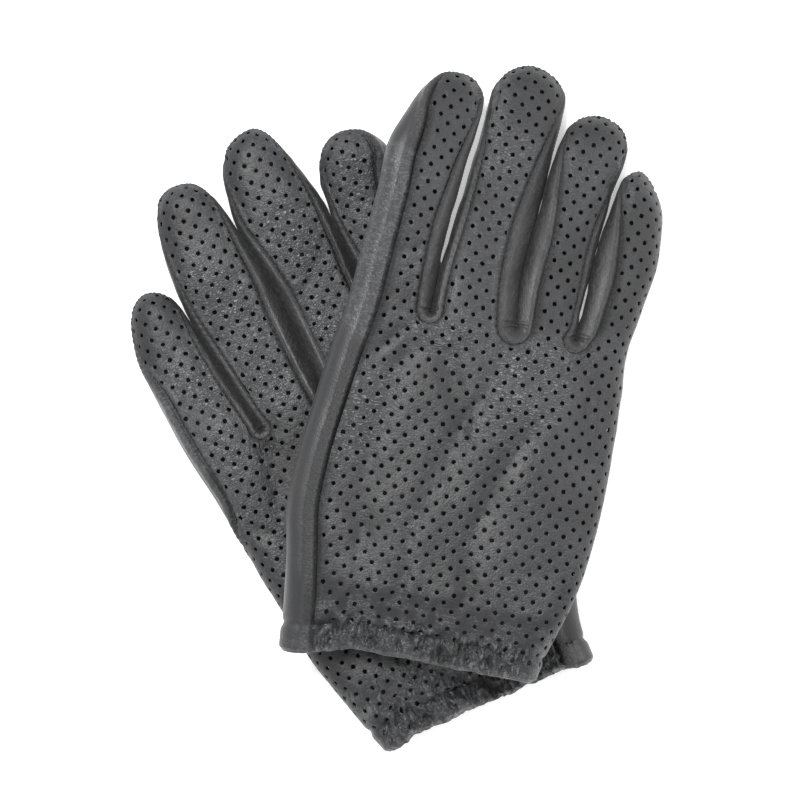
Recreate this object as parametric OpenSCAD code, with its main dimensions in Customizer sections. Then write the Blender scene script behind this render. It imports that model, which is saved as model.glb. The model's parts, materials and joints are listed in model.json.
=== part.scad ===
// A pair of short leather driving gloves, lying back side up, the right glove on top of the left one.
// Each glove has its own flat frame: u runs across the knuckles, v from the knuckles to the fingertips,
// and v = 0 is the knuckle line, where the fingers fold. drape() gives the height of the glove's middle
// surface over the table, so every leather panel follows the way the glove lies.

/* [Leather] */
// Thickness of the leather
leather = 1.2; // [0.8:0.1:1.4]
// Half of the hand's thickness, back to palm
hand_half = 6.2; // [6:0.1:6.6]
// Half of a finger's thickness
finger_half = 7.0; // [6.6:0.1:7.2]
// How far the rounded edge of a panel reaches in from the outline
edge_round = 8.5; // [7:0.5:9]

/* [Seams] */
// Angle of the seams between a panel and a fourchette, above the edge's middle
fourchette_seam = 70; // [50:5:75]
// Angle of the back-to-palm seam along the index side of both gloves
index_seam = 89; // [60:1:89]
// Angle of the back-to-palm seam along the little-finger side of the right glove
right_little_seam = -45; // [-60:5:0]
// Angle of the back-to-palm seam along the little-finger side of the left glove
left_little_seam = 58; // [30:2:70]

/* [Thumb] */
// Thickness of the flattened thumb
thumb_thick = 7.4; // [7.2:0.1:7.5]
// Distance from the thumb's root to the centre of its tip
thumb_reach = 50; // [40:1:52]
// Radius of the thumb at its root
thumb_root = 13; // [12:0.5:14]
// Radius of the thumb at its tip
thumb_tip = 9; // [8:0.5:10]
// Radius of the thumb hole's collar
thumb_collar = 9; // [8:0.2:9]
// Angle of the tucked thumb from the hand's long direction
thumb_lean = 12; // [5:1:15]

/* [Cuff] */
// Distance from the knuckle line to the cuff's edge
hand_length = 120; // [118:1:122]
// Depth of the turned-in hem
hem_depth = 9; // [7:0.5:10]
// Distance between two stitches of the hem
stitch_pitch = 3.4; // [3:0.2:5]
// Length of one stitch
stitch_length = 2.3; // [1.8:0.1:2.6]
// Radius of the sewing thread
thread = 0.3; // [0.2:0.05:0.4]

/* [Hidden] */
$fn = 32;

LEFT = 0;
RIGHT = 1;
// Where each glove's knuckle line has its middle, and the direction that the line runs in
knuckle_at = [[-18.94, 4.54], [32.46, 28.94]];
knuckle_turn = [24, -11];

// Outline of the hand, as [v, left u, right u] from the knuckles to the cuff
hand_rows = [
    [[-120, -36.5, 42.6], [-107, -41, 43.6], [-94, -44.7, 47.6], [-81, -47.8, 50.5], [-57, -50.8, 52],
     [-36, -53.5, 51], [-16, -55.6, 50], [0, -58.3, 49.6]],
    [[-120, -49.8, 39.2], [-110, -51, 41.4], [-90, -54.4, 47], [-75, -56.8, 49.7], [-55, -56.4, 51],
     [-35, -54.2, 50.8], [-18, -52.2, 50.4], [0, -49.6, 49.8]]
];

// Fingers from left to right. Each has its outline as [v, left u, right u], and its tip as [v, u]
finger_rows = [
    [
        [[0, -58.3, -31.7], [24, -60, -35.8], [40, -60.4, -38], [47, -59.8, -39.2]],
        [[0, -30.6, -5.8], [20, -34.2, -6.4], [50, -38.2, -7.3], [68, -37.6, -10.4], [78, -35.3, -12.6]],
        [[0, -4.8, 20.5], [15, -5.3, 21.9], [50, -6.2, 22], [65, -8.9, 20.8], [82, -8.8, 17.4]],
        [[0, 21.4, 49.6], [20, 22.9, 50.2], [56, 22.7, 50.4], [70, 24, 50]]
    ],
    [
        [[0, -49.6, -21.3], [20, -48.3, -20.6], [40, -46.8, -18.8], [56, -45.8, -17.6], [70, -41.5, -16.5]],
        [[0, -20.3, 8.8], [15, -20, 7.6], [40, -17.9, 9.2], [60, -16.2, 10.7], [78, -14.5, 12]],
        [[0, 9.8, 30.3], [15, 8.5, 30.9], [40, 10.2, 32], [55, 11.4, 34.2], [66, 12.4, 36]],
        [[0, 31.2, 49.8], [15, 32, 51.9], [34, 33.3, 54.2], [46, 34.8, 53.2]]
    ]
];
finger_tips = [
    [[60.5, -48.5], [89, -22.5], [98, 5.5], [83.5, 39]],
    [[83.5, -27], [91.5, -1.5], [79, 25.5], [63, 42.5]]
];
// How far each finger of the right glove sags below the glove's general slope
finger_sag = [[0, 0, 0, 0], [0, 7.2, 2.8, 0.8]];

// Height of each glove's middle surface over the table where the hand lies flat
hand_level = [14.0, 34.8];
// Height of the left fingers' middle surface where they lie on the table
finger_level = 7.0;
// Slope of the right glove where the left glove no longer holds it up
fall_slope = 0.34;
// Radius of the bend between the flat and the sloping parts
fall_bend = 6;
// Point where that slope starts, and its direction, in the right glove's frame
fall_from = [-5, -5];
fall_towards = [0.82, 0.57];
// Stretch in which each cuff drops, and how far
cuff_drop_from = [-94, -96];
cuff_drop = [7.7, 7.2];
cuff_drop_length = 22;
// Extra depth of the right cuff's corner at the index side
cuff_dip = 5.5;
// Clearance between the hand and the fingers at the knuckle line
knuckle_gap = 0.8;
// Clearance between a thumb and what it lies against
layer_gap = 0.4;
// Clearances of the turned-in hem and of the stitches from the leather
hem_gap = 0.15;
stitch_gap = 0.2;
// Share of a finger's length at which its seams start to close, and at which its fourchette ends
seam_close = 0.7;
fourchette_end = 0.9;
// Width of a fingertip's closing line, as a share of the finger's width
tip_width = 0.3;
// Root of each thumb in its glove's frame, and the side it leans to
thumb_at = [[34, -80], [-34, -80]];
thumb_side = [1, -1];
// Stations along a hand, from the hem's inner edge to the knuckles, and along a finger as shares of
// its length
hand_stations = [-107.5, -104, -100, -95, -90, -75, -55, -34, -15, -knuckle_gap];
finger_stations = [0, 0.1, 0.2, 0.3, 0.4, 0.52, 0.62, 0.7, 0.8, 0.9, 0.96, 1];
// Points in each rounded edge and in the flat middle of a panel
edge_points = 5;
middle_points = 3;

function smooth(t) = let (c = min(1, max(0, t))) c * c * (3 - 2 * c);
function column(rows, k) = [for (r = rows) [r[0], r[k]]];

// Height of the middle surface of glove g at u, v
function fall(u, v) =
    let (d = (u - fall_from[0]) * fall_towards[0] + (v - fall_from[1]) * fall_towards[1])
    fall_slope * (sqrt(d * d + fall_bend * fall_bend) + d) / 2;
function drape(g, u, v) =
    hand_level[g]
    - (g == RIGHT ? fall(u, v) : (hand_level[LEFT] - finger_level) * smooth((v - 2) / 35))
    - cuff_drop[g] * smooth((cuff_drop_from[g] - v) / cuff_drop_length);

// One edge of a cross-section: theta runs from -90 at the palm over 0 at the outline to 90 at the back
function edge_point(outline, side, radius, half, theta) =
    [outline + side * radius * (1 - cos(theta)), half * sin(theta)];
function arc(outline, side, radius, half, from, to) =
    [for (i = [0:edge_points - 1])
        edge_point(outline, side, radius, half, from + (to - from) * i / (edge_points - 1))];
function flat(left, right, radius, half) =
    [for (i = [1:middle_points])
        [left + radius + (right - left - 2 * radius) * i / (middle_points + 1), half]];

// Open cross-sections from the left seam to the right one, over the back (up = 1) or the palm (up = -1)
function section(left, right, radius, half, up, seam_left, seam_right) =
    concat(
        arc(left, 1, radius, half, seam_left, up * 90),
        flat(left, right, radius, up * half),
        arc(right, -1, radius, half, up * 90, seam_right)
    );

// A closed shell between two grids of points that have the same rows and columns
module shell(outer, inner) {
    rows = len(outer);
    cols = len(outer[0]);
    points = concat([for (r = outer) each r], [for (r = inner) each r]);
    function at(layer, i, j) = layer * rows * cols + i * cols + j;
    function quad(a, b, c, d) = [[a, b, c], [a, c, d]];
    faces = concat(
        [for (i = [0:rows - 2]) for (j = [0:cols - 2])
            each quad(at(0, i, j), at(0, i, j + 1), at(0, i + 1, j + 1), at(0, i + 1, j))],
        [for (i = [0:rows - 2]) for (j = [0:cols - 2])
            each quad(at(1, i, j), at(1, i + 1, j), at(1, i + 1, j + 1), at(1, i, j + 1))],
        // Both side walls split along the same diagonals, so that panels meet face to face at a seam
        [for (i = [0:rows - 2]) each quad(at(0, i, 0), at(0, i + 1, 0), at(1, i + 1, 0), at(1, i, 0))],
        [for (i = [0:rows - 2])
            each quad(at(0, i, cols - 1), at(1, i, cols - 1),
                      at(1, i + 1, cols - 1), at(0, i + 1, cols - 1))],
        [for (j = [0:cols - 2]) each quad(at(0, 0, j + 1), at(0, 0, j), at(1, 0, j), at(1, 0, j + 1))],
        [for (j = [0:cols - 2])
            each quad(at(0, rows - 1, j), at(0, rows - 1, j + 1),
                      at(1, rows - 1, j + 1), at(1, rows - 1, j))]
    );
    polyhedron(points, faces, convexity = 6);
}

module reversed_shell(outer, inner) {
    shell([for (r = outer) [for (j = [len(r) - 1:-1:0]) r[j]]],
          [for (r = inner) [for (j = [len(r) - 1:-1:0]) r[j]]]);
}

// Places a glove's own frame on the table
module glove(g) {
    translate([knuckle_at[g][0], knuckle_at[g][1], 0]) rotate([0, 0, knuckle_turn[g]]) children();
}

// --- The hand ---

// How far the right cuff's corner hangs past its edge
function dip(g, u, v) = g == RIGHT ? cuff_dip * smooth((-22 - u) / 25) * smooth((-90 - v) / 30) : 0;

// One cross-section of the hand, set in by inset from the outer surface
function hand_ring(g, v, inset, up, seams) = let (
    left = lookup(v, column(hand_rows[g], 1)) + inset,
    right = lookup(v, column(hand_rows[g], 2)) - inset
) [for (p = section(left, right, edge_round - inset, hand_half - inset, up, seams[0], seams[1]))
    [p[0], v - dip(g, p[0], v), drape(g, p[0], v) + p[1]]];

// Stations along the hem, which the panels and the turned-in edge share so that they follow one curve
function hem_stations(start) = [for (s = [0:3]) -hand_length + (s == 0 ? start : hem_depth * s / 3)];

// Back-to-palm seams at the left and right edges of a glove
function outer_seams(g) = g == RIGHT ? [index_seam, right_little_seam] : [left_little_seam, index_seam];

module hand_panel(g, up, vs, inset, thick) {
    outer = [for (v = vs) hand_ring(g, v, inset, up, outer_seams(g))];
    inner = [for (v = vs) hand_ring(g, v, inset + thick, up, outer_seams(g))];
    if (up > 0) shell(outer, inner);
    else reversed_shell(outer, inner);
}

module hand_back(g) {
    glove(g) hand_panel(g, 1, concat(hem_stations(0), hand_stations), 0, leather);
}

module hand_palm(g) {
    glove(g) difference() {
        hand_panel(g, -1, concat(hem_stations(0), hand_stations), 0, leather);
        translate([thumb_at[g][0], thumb_at[g][1], 0])
            cylinder(r = thumb_collar + layer_gap, h = hand_level[g]);
    }
}

// The hem is the leather's edge turned in, so it lines the cuff inside both panels
module cuff_hem(g) {
    glove(g) for (up = [1, -1])
        hand_panel(g, up, hem_stations(0.5), leather + hem_gap, leather * 0.7);
}

// A narrow elastic under the hem of the back, which gathers the cuff
module cuff_elastic(g) {
    inset = leather * 1.7 + 2 * hem_gap;
    vs = [for (s = [0.5, 3, 6, 8.5]) -hand_length + s];
    us = [for (u = [-26:6.5:26]) u];
    layer = function (drop) [for (v = vs) [for (u = us) [u, v, drape(g, u, v) + hand_half - inset - drop]]];
    glove(g) shell(layer(0), layer(0.8));
}

// A point a little above the back's outer surface
function above_back(g, u, v, gap) = [u, v - dip(g, u, v), drape(g, u, v) + hand_half + gap];

module thread_between(a, b) {
    d = b - a;
    translate(a) rotate([0, acos(d[2] / norm(d)), atan2(d[1], d[0])])
        cylinder(r = thread, h = norm(d), $fn = 10);
}

module hem_stitching(g) {
    v = -hand_length + hem_depth - 0.5;
    first = lookup(v, column(hand_rows[g], 1)) + edge_round + 1;
    last = lookup(v, column(hand_rows[g], 2)) - edge_round - 1;
    glove(g) for (u = [first:stitch_pitch:last - stitch_length])
        thread_between(above_back(g, u, v, thread + stitch_gap),
                       above_back(g, u + stitch_length, v, thread + stitch_gap));
}

// Between two fingers the fourchette turns round and closes the hand's end
module fourchette_bends(g) {
    depth = 1.6;
    width = 5;
    half = hand_half - leather - 0.3;
    glove(g) for (i = [0:2]) {
        u = (finger_rows[g][i][0][2] + finger_rows[g][i + 1][0][1]) / 2;
        us = [u - width / 2, u, u + width / 2];
        face = function (v) [for (s = [1, -1]) [for (x = us) [x, v, drape(g, x, v) + s * half]]];
        shell(face(-knuckle_gap - depth), face(-knuckle_gap));
    }
}

// --- The fingers ---

// How far the outline has closed at share x of the way through the rounded tip
function closing(x) = sqrt(max(0, 1 - x * x));
function tip_share(g, i, v) = let (end = finger_rows[g][i][len(finger_rows[g][i]) - 1][0])
    max(0, (v - end) / (finger_tips[g][i][0] - end));
function finger_edge(g, i, v, k) = let (
    rows = finger_rows[g][i],
    tip = finger_tips[g][i],
    close = max(tip_width, closing(tip_share(g, i, v)))
) tip[1] + (lookup(min(v, rows[len(rows) - 1][0]), column(rows, k)) - tip[1]) * close;

// A finger is as thick as the hand at the knuckles, and thins out to the seam at its tip
function finger_thick(g, i, v, f) =
    (hand_half + (finger_half - hand_half) * smooth(f / 0.4)) * closing(tip_share(g, i, v));
function sag(g, i, f) = finger_sag[g][i] * smooth(f);

// Seam angle at share f of a finger's length
function seam_at(angle, f) =
    f <= seam_close ? angle
    : f <= fourchette_end
        ? angle + (8 * sign(angle) - angle) * (f - seam_close) / (fourchette_end - seam_close)
    : 0;

// The panel's seam angle on one side: side 0 is the left edge of finger i, and side 1 the right one
function is_outer(i, side) = (i == 0 && side == 0) || (i == 3 && side == 1);
function panel_seam(g, i, side, up, f) =
    seam_at(is_outer(i, side) ? outer_seams(g)[side] : up * fourchette_seam, f);

// Where finger station f lies, and the half thickness there, with the surface set in by inset
function finger_v(g, i, f, inset) = (finger_tips[g][i][0] - inset) * f;
function finger_frame(g, i, f, inset) = let (
    v = finger_v(g, i, f, inset),
    reach = f * finger_tips[g][i][0],
    left = finger_edge(g, i, reach, 1),
    right = finger_edge(g, i, reach, 2),
    shrink = 1 - 2 * inset / (finger_rows[g][i][1][2] - finger_rows[g][i][1][1]),
    middle = (left + right) / 2,
    half_width = (right - left) / 2 * shrink
) [v, middle - half_width, middle + half_width, min(edge_round - inset, half_width * 0.96),
   finger_thick(g, i, reach, f) * (1 - inset / finger_half)];

function lay(g, i, f, v, points) =
    [for (p = points) [p[0], v, drape(g, p[0], v) - sag(g, i, f) + p[1]]];

function finger_ring(g, i, f, inset, up) = let (a = finger_frame(g, i, f, inset))
    lay(g, i, f, a[0], section(a[1], a[2], a[3], a[4], up,
                               panel_seam(g, i, 0, up, f), panel_seam(g, i, 1, up, f)));

module finger_panel(g, i, up) {
    outer = [for (f = finger_stations) finger_ring(g, i, f, 0, up)];
    inner = [for (f = finger_stations) finger_ring(g, i, f, leather, up)];
    glove(g) if (up > 0) shell(outer, inner);
    else reversed_shell(outer, inner);
}

// The side wall between the back and the palm of a finger, on side 0 (left) or 1 (right)
module fourchette(g, i, side) {
    stations = [for (f = finger_stations) if (f <= fourchette_end) f];
    ring = function (f, inset) let (
        a = finger_frame(g, i, f, inset),
        seam = seam_at(fourchette_seam, f)
    ) lay(g, i, f, a[0], arc(a[1 + side], 1 - 2 * side, a[3], a[4], -seam, seam));
    outer = [for (f = stations) ring(f, 0)];
    inner = [for (f = stations) ring(f, leather)];
    glove(g) if (side == 0) shell(outer, inner);
    else reversed_shell(outer, inner);
}

// --- The thumb ---

module thumb_outline(inset) {
    hull() {
        circle(r = thumb_root - inset);
        translate([0, thumb_reach]) circle(r = thumb_tip - inset);
    }
}

// Lays a thumb in the layer under its glove's palm, tucked in towards the fingers
module tucked(g) {
    level = hand_level[g] - hand_half - layer_gap - thumb_thick;
    glove(g) translate([thumb_at[g][0], thumb_at[g][1], level])
        rotate([0, 0, thumb_side[g] * thumb_lean]) children();
}

// The outer half of the thumb, with its side walls
module thumb_back(g) {
    tucked(g) difference() {
        linear_extrude(thumb_thick - leather) thumb_outline(0);
        translate([0, 0, leather]) linear_extrude(thumb_thick) thumb_outline(leather);
    }
}

// The half that faces the palm, with the collar that passes through the palm's thumb hole
module thumb_inner(g) {
    tucked(g) translate([0, 0, thumb_thick - leather]) difference() {
        union() {
            linear_extrude(leather) thumb_outline(0);
            cylinder(r = thumb_collar, h = 2 * leather + layer_gap);
        }
        translate([0, 0, -1]) cylinder(r = thumb_collar - leather, h = 10);
    }
}

// Fingers by their place from left to right in each glove
LITTLE = [0, 3];
RING = [1, 2];
MIDDLE = [2, 1];
INDEX = [3, 0];

module back_node(g, finger) { color([0.30, 0.30, 0.31]) finger_panel(g, finger[g], 1); }
module palm_node(g, finger) { color([0.26, 0.26, 0.27]) finger_panel(g, finger[g], -1); }
module sides_node(g, finger) {
    color([0.22, 0.22, 0.23]) for (side = [0, 1])
        if (!is_outer(finger[g], side)) fourchette(g, finger[g], side);
}
module hand_back_node(g) { color([0.30, 0.30, 0.31]) hand_back(g); }
module hand_palm_node(g) { color([0.26, 0.26, 0.27]) hand_palm(g); }
module bends_node(g) { color([0.22, 0.22, 0.23]) fourchette_bends(g); }
module hem_node(g) { color([0.28, 0.28, 0.29]) cuff_hem(g); }
module elastic_node(g) { color([0.10, 0.10, 0.11]) cuff_elastic(g); }
module stitching_node(g) { color([0.06, 0.06, 0.07]) hem_stitching(g); }
module thumb_back_node(g) { color([0.27, 0.27, 0.28]) thumb_back(g); }
module thumb_inner_node(g) { color([0.25, 0.25, 0.26]) thumb_inner(g); }

hand_back_node(LEFT);  // left_back
hand_palm_node(LEFT);  // left_palm
bends_node(LEFT);  // left_fourchette_bends
hem_node(LEFT);  // left_cuff_hem
elastic_node(LEFT);  // left_cuff_elastic
stitching_node(LEFT);  // left_hem_stitching
back_node(LEFT, INDEX);  // left_index_back
palm_node(LEFT, INDEX);  // left_index_palm
sides_node(LEFT, INDEX);  // left_index_fourchette
back_node(LEFT, MIDDLE);  // left_middle_back
palm_node(LEFT, MIDDLE);  // left_middle_palm
sides_node(LEFT, MIDDLE);  // left_middle_fourchettes
back_node(LEFT, RING);  // left_ring_back
palm_node(LEFT, RING);  // left_ring_palm
sides_node(LEFT, RING);  // left_ring_fourchettes
back_node(LEFT, LITTLE);  // left_little_back
palm_node(LEFT, LITTLE);  // left_little_palm
sides_node(LEFT, LITTLE);  // left_little_fourchette
thumb_back_node(LEFT);  // left_thumb_back
thumb_inner_node(LEFT);  // left_thumb_inner
hand_back_node(RIGHT);  // right_back
hand_palm_node(RIGHT);  // right_palm
bends_node(RIGHT);  // right_fourchette_bends
hem_node(RIGHT);  // right_cuff_hem
elastic_node(RIGHT);  // right_cuff_elastic
stitching_node(RIGHT);  // right_hem_stitching
back_node(RIGHT, INDEX);  // right_index_back
palm_node(RIGHT, INDEX);  // right_index_palm
sides_node(RIGHT, INDEX);  // right_index_fourchette
back_node(RIGHT, MIDDLE);  // right_middle_back
palm_node(RIGHT, MIDDLE);  // right_middle_palm
sides_node(RIGHT, MIDDLE);  // right_middle_fourchettes
back_node(RIGHT, RING);  // right_ring_back
palm_node(RIGHT, RING);  // right_ring_palm
sides_node(RIGHT, RING);  // right_ring_fourchettes
back_node(RIGHT, LITTLE);  // right_little_back
palm_node(RIGHT, LITTLE);  // right_little_palm
sides_node(RIGHT, LITTLE);  // right_little_fourchette
thumb_back_node(RIGHT);  // right_thumb_back
thumb_inner_node(RIGHT);  // right_thumb_inner
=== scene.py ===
"""The looks of a pair of perforated leather driving gloves that lie crossed on a table, back side up.

Lengths in this script are in millimetres, in each glove's own flat frame: u runs across the knuckles and
v from the knuckles to the fingertips. They turn into metres of the row frame in to_row().
"""

import json
import math

import bpy
import numpy as np
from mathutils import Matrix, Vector
from mathutils.geometry import delaunay_2d_cdt
from mathutils.kdtree import KDTree

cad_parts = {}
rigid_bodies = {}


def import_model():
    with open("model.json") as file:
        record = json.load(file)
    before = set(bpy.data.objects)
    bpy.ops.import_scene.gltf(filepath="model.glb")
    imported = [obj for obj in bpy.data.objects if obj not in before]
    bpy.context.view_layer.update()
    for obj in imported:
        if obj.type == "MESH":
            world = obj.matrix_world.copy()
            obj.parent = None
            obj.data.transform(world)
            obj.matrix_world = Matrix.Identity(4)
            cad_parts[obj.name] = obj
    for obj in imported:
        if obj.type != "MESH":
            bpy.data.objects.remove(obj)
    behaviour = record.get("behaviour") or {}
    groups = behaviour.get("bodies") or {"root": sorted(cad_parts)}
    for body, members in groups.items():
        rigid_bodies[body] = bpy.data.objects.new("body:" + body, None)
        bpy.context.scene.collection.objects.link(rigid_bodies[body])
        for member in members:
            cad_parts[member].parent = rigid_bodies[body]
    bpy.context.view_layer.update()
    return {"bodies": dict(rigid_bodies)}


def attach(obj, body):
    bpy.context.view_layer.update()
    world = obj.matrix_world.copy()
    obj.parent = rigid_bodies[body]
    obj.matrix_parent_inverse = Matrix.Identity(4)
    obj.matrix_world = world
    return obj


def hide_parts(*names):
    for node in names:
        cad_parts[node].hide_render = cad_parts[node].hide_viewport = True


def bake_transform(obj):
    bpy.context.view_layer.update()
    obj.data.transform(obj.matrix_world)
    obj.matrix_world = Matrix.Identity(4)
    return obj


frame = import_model()
LEFT, RIGHT = 0, 1
SIDE = ("left", "right")

# ---------------------------------------------------------------- camera and light, in metres
CAMERA_AT = (0.0015, 0.0020, 2.2)
SUBJECT_HEIGHT = 0.025
VIEW_WIDTH = 0.2788
SENSOR_WIDTH = 36.0
scene = bpy.context.scene
camera_data = bpy.data.cameras.new("camera")
camera_data.sensor_width = SENSOR_WIDTH
camera_data.lens = SENSOR_WIDTH * (CAMERA_AT[2] - SUBJECT_HEIGHT) / VIEW_WIDTH
camera_data.clip_start = 0.05
camera = bpy.data.objects.new("camera", camera_data)
camera.location = CAMERA_AT
scene.collection.objects.link(camera)
scene.camera = camera
scene.view_settings.view_transform = "Standard"


def area_light(name, location, size, power):
    """A round lamp that points at the middle of the table."""
    data = bpy.data.lights.new(name, "AREA")
    data.shape = "DISK"
    data.size = size
    data.energy = power
    light = bpy.data.objects.new(name, data)
    light.location = location
    light.rotation_euler = (-Vector(location)).to_track_quat("-Z", "Y").to_euler()
    scene.collection.objects.link(light)


area_light("key", (-0.32, 0.45, 1.25), 0.55, 20)
area_light("side", (0.95, 0.25, 0.75), 0.6, 5)
world = bpy.data.worlds.new("studio")
world.use_nodes = True
background = world.node_tree.nodes["Background"]
background.inputs["Color"].default_value = (1.0, 1.0, 1.0, 1.0)
background.inputs["Strength"].default_value = 0.92
scene.world = world

# ---------------------------------------------------------------- the gloves' sizes, as in the CAD
# Radius of a glove's rounded edge, and half the height of a lying hand and finger
EDGE_ROUND = 8.5
HAND_HALF, FINGER_HALF = 6.2, 7.0
LEATHER, THUMB_LEATHER = 1.0, 0.9
HAND_LENGTH = 120.0
# Depth of the turned-in hem, and the spacing of the stitches along every seam
HEM = 8.4
STITCH_PITCH = 2.6
# Middle of each glove's knuckle line in the row frame, and its turn in degrees
KNUCKLE_AT = ((-18.94, 4.54), (32.46, 28.94))
KNUCKLE_TURN = (24.0, -11.0)
# Left and right edge of each hand and finger, as rows of (v, left u, right u)
HAND_ROWS = (
    ((-120, -36.5, 42.6), (-107, -41, 43.6), (-94, -44.7, 47.6), (-81, -47.8, 50.5), (-57, -50.8, 52),
     (-36, -53.5, 51), (-16, -55.6, 50), (0, -58.3, 49.6)),
    ((-120, -49.8, 39.2), (-110, -51, 41.4), (-90, -54.4, 47), (-75, -56.8, 49.7), (-55, -56.4, 51),
     (-35, -54.2, 50.8), (-18, -52.2, 50.4), (0, -49.6, 49.8)),
)
FINGER_ROWS = (
    (
        ((0, -58.3, -31.7), (24, -60.5, -35.8), (36, -61, -37.8), (47, -59.6, -39.2)),
        ((0, -30.6, -5.8), (20, -34.2, -6.4), (50, -38.5, -7.3), (66, -38.2, -10.0), (77, -36.3, -11.9)),
        ((0, -4.8, 20.5), (15, -5.3, 21.9), (50, -7.6, 22.2), (68, -10.2, 20.8), (82, -8.7, 17.5)),
        ((0, 21.4, 49.6), (20, 22.9, 50.2), (56, 21.6, 50.6), (70, 23.0, 50.2)),
    ),
    (
        ((0, -49.6, -21.3), (20, -48.3, -21.0), (40, -46.9, -19.3), (56, -46.2, -17.9), (71, -40.8, -16.4)),
        ((0, -20.3, 8.8), (15, -20, 7.6), (40, -17.7, 9.2), (60, -15.7, 10.8), (77, -14.7, 12)),
        ((0, 9.8, 30.3), (15, 8.5, 30.9), (40, 10.2, 32), (55, 11.2, 34.6), (66, 12.5, 36.5)),
        ((0, 31.2, 49.8), (15, 32, 52.2), (32, 33.2, 54.4), (46, 34.6, 53.4)),
    ),
)
# Rounded end of each finger, from its left edge to its right one, as (u, v)
FINGER_ENDS = (
    (
        ((-58.6, 50), (-57.0, 54), (-54.5, 57.3), (-51.5, 59.3), (-48.5, 59.9), (-45.8, 59.1), (-42.8, 57),
         (-40.6, 54), (-39.4, 50)),
        ((-35.4, 80), (-34.0, 84), (-31.6, 87.8), (-28.2, 89.9), (-24.5, 90.4), (-20.5, 89.7), (-17.3, 88),
         (-14.6, 84.6), (-12.7, 80.4)),
        ((-7.6, 86), (-5.6, 90), (-2.6, 94.5), (1.2, 96.9), (5.5, 97.9), (9.6, 97.5), (12.4, 95.1),
         (15, 90.5), (16.5, 85.6)),
        ((24.4, 74), (26.2, 78.2), (29, 81.6), (33, 83.9), (37, 84), (41.4, 82.8), (45, 80.6), (47.6, 77.4),
         (49.5, 73.6)),
    ),
    (
        ((-38.9, 74.6), (-37, 77.6), (-34.6, 80.6), (-31.6, 82.8), (-27.5, 83.8), (-23.6, 83.6),
         (-20, 82), (-17.6, 79.4), (-16.5, 75.8)),
        ((-14.4, 80.4), (-13, 84), (-10.6, 87.6), (-7.2, 90.2), (-3, 91.7), (1, 91.5), (5, 90.2), (9, 87.4),
         (11.6, 84), (12.2, 80)),
        ((13.2, 69), (14.4, 72.6), (16.6, 75.8), (20, 78), (24, 79), (28, 78.6), (31.8, 77), (34.8, 74.2),
         (36.5, 70)),
        ((35.4, 54), (36.6, 58.4), (39.2, 61.6), (42.6, 62.6), (45.6, 60.8), (48.2, 57.6), (50.6, 53.6),
         (52.4, 49.6)),
    ),
)
# Tip of each finger as (v, u)
FINGER_TIPS = (
    ((60.5, -48.5), (90.5, -24.5), (98, 5.5), (84, 36)),
    ((84, -26), (92, -1.5), (79, 25.5), (63, 42.5)),
)
FINGER_NAMES = (("little", "ring", "middle", "index"), ("index", "middle", "ring", "little"))
# How far each fingertip sags, and the height of the gloves' middle surfaces over the table
FINGER_SAG = ((0, 0, 0, 0), (0, 7.2, 2.8, 0.8))
HAND_LEVEL = (14.0, 34.8)
FINGER_LEVEL = 7.0
# The right glove falls off the left one past a bent line, and both cuffs drop to the table
FALL_SLOPE, FALL_BEND, FALL_FROM, FALL_TOWARDS = 0.34, 6.0, (-5, -5), (0.82, 0.57)
CUFF_DROP_FROM, CUFF_DROP, CUFF_DROP_LENGTH = (-94, -96), (7.7, 7.2), 22.0
CUFF_DIP = 5.5
# Each thumb's root, the side to which it leans, and its flat form
THUMB_AT = ((34, -80), (-34, -80))
THUMB_SIDE = (1, -1)
THUMB_THICK, THUMB_REACH, THUMB_ROOT, THUMB_TIP, THUMB_LEAN = 7.4, 50.0, 13.0, 9.0, 12.0
LAYER_GAP = 0.4
# Width of the fourchette seen beside each finger's back, left and right of each finger
BAND = (((0, 2.4), (2.6, 5.8), (4.8, 4.6), (3.4, 0)), ((0, 4.8), (3.4, 6.8), (7.0, 1.8), (8.0, 0)))
BAND_SHARE = ((0, 0.2, 0.4, 0.63, 0.75, 0.88, 0.95), (0.8, 0.92, 1, 0.66, 0.36, 0.08, 0.0))
SEAM_END = 0.6
INDEX_STRIP = 11.0
STRIP_SHARE = ((0.66, 0.74, 0.80, 0.86, 0.93, 0.99), (1, 0.93, 0.78, 0.54, 0.24, 0.02))
CROTCH_BAND = 4.4
PALM_SEAM = 0.85
# Length of leather round the edge's quarter circle, and how much longer that is than its inset
ARC = math.pi / 2 * EDGE_ROUND
SPREAD = ARC - EDGE_ROUND
# Leather outlines end past the cuff, where the panels are cut off square
OUTLINE_END = -160
WHOLE_HAND = 4


def smooth(t):
    """0 below 0 and 1 above 1, with a soft step between."""
    c = np.clip(t, 0, 1)
    return c * c * (3 - 2 * c)


def bell(x, width):
    """1 at 0, falling to nothing either side."""
    return np.exp(-((x / width) ** 2))


def cuffward(v, start, length):
    """0 above start, rising to 1 over a length towards the cuff."""
    return smooth((start - v) / length)


def between(u, left, rise, right, drop):
    """0 outside left and right, rising to 1 between them."""
    return smooth((u - left) / rise) * smooth((right - u) / drop)


def fall(u, v):
    """How far the right glove has fallen off the left one."""
    d = (u - FALL_FROM[0]) * FALL_TOWARDS[0] + (v - FALL_FROM[1]) * FALL_TOWARDS[1]
    return FALL_SLOPE * (np.sqrt(d * d + FALL_BEND * FALL_BEND) + d) / 2


def drape(g, u, v):
    """Height of a glove's middle surface over the table."""
    if g == RIGHT:
        down = fall(u, v)
    else:
        down = (HAND_LEVEL[LEFT] - FINGER_LEVEL) * smooth((v - 2) / 35)
    return HAND_LEVEL[g] - down - CUFF_DROP[g] * cuffward(v, CUFF_DROP_FROM[g], CUFF_DROP_LENGTH)


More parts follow.
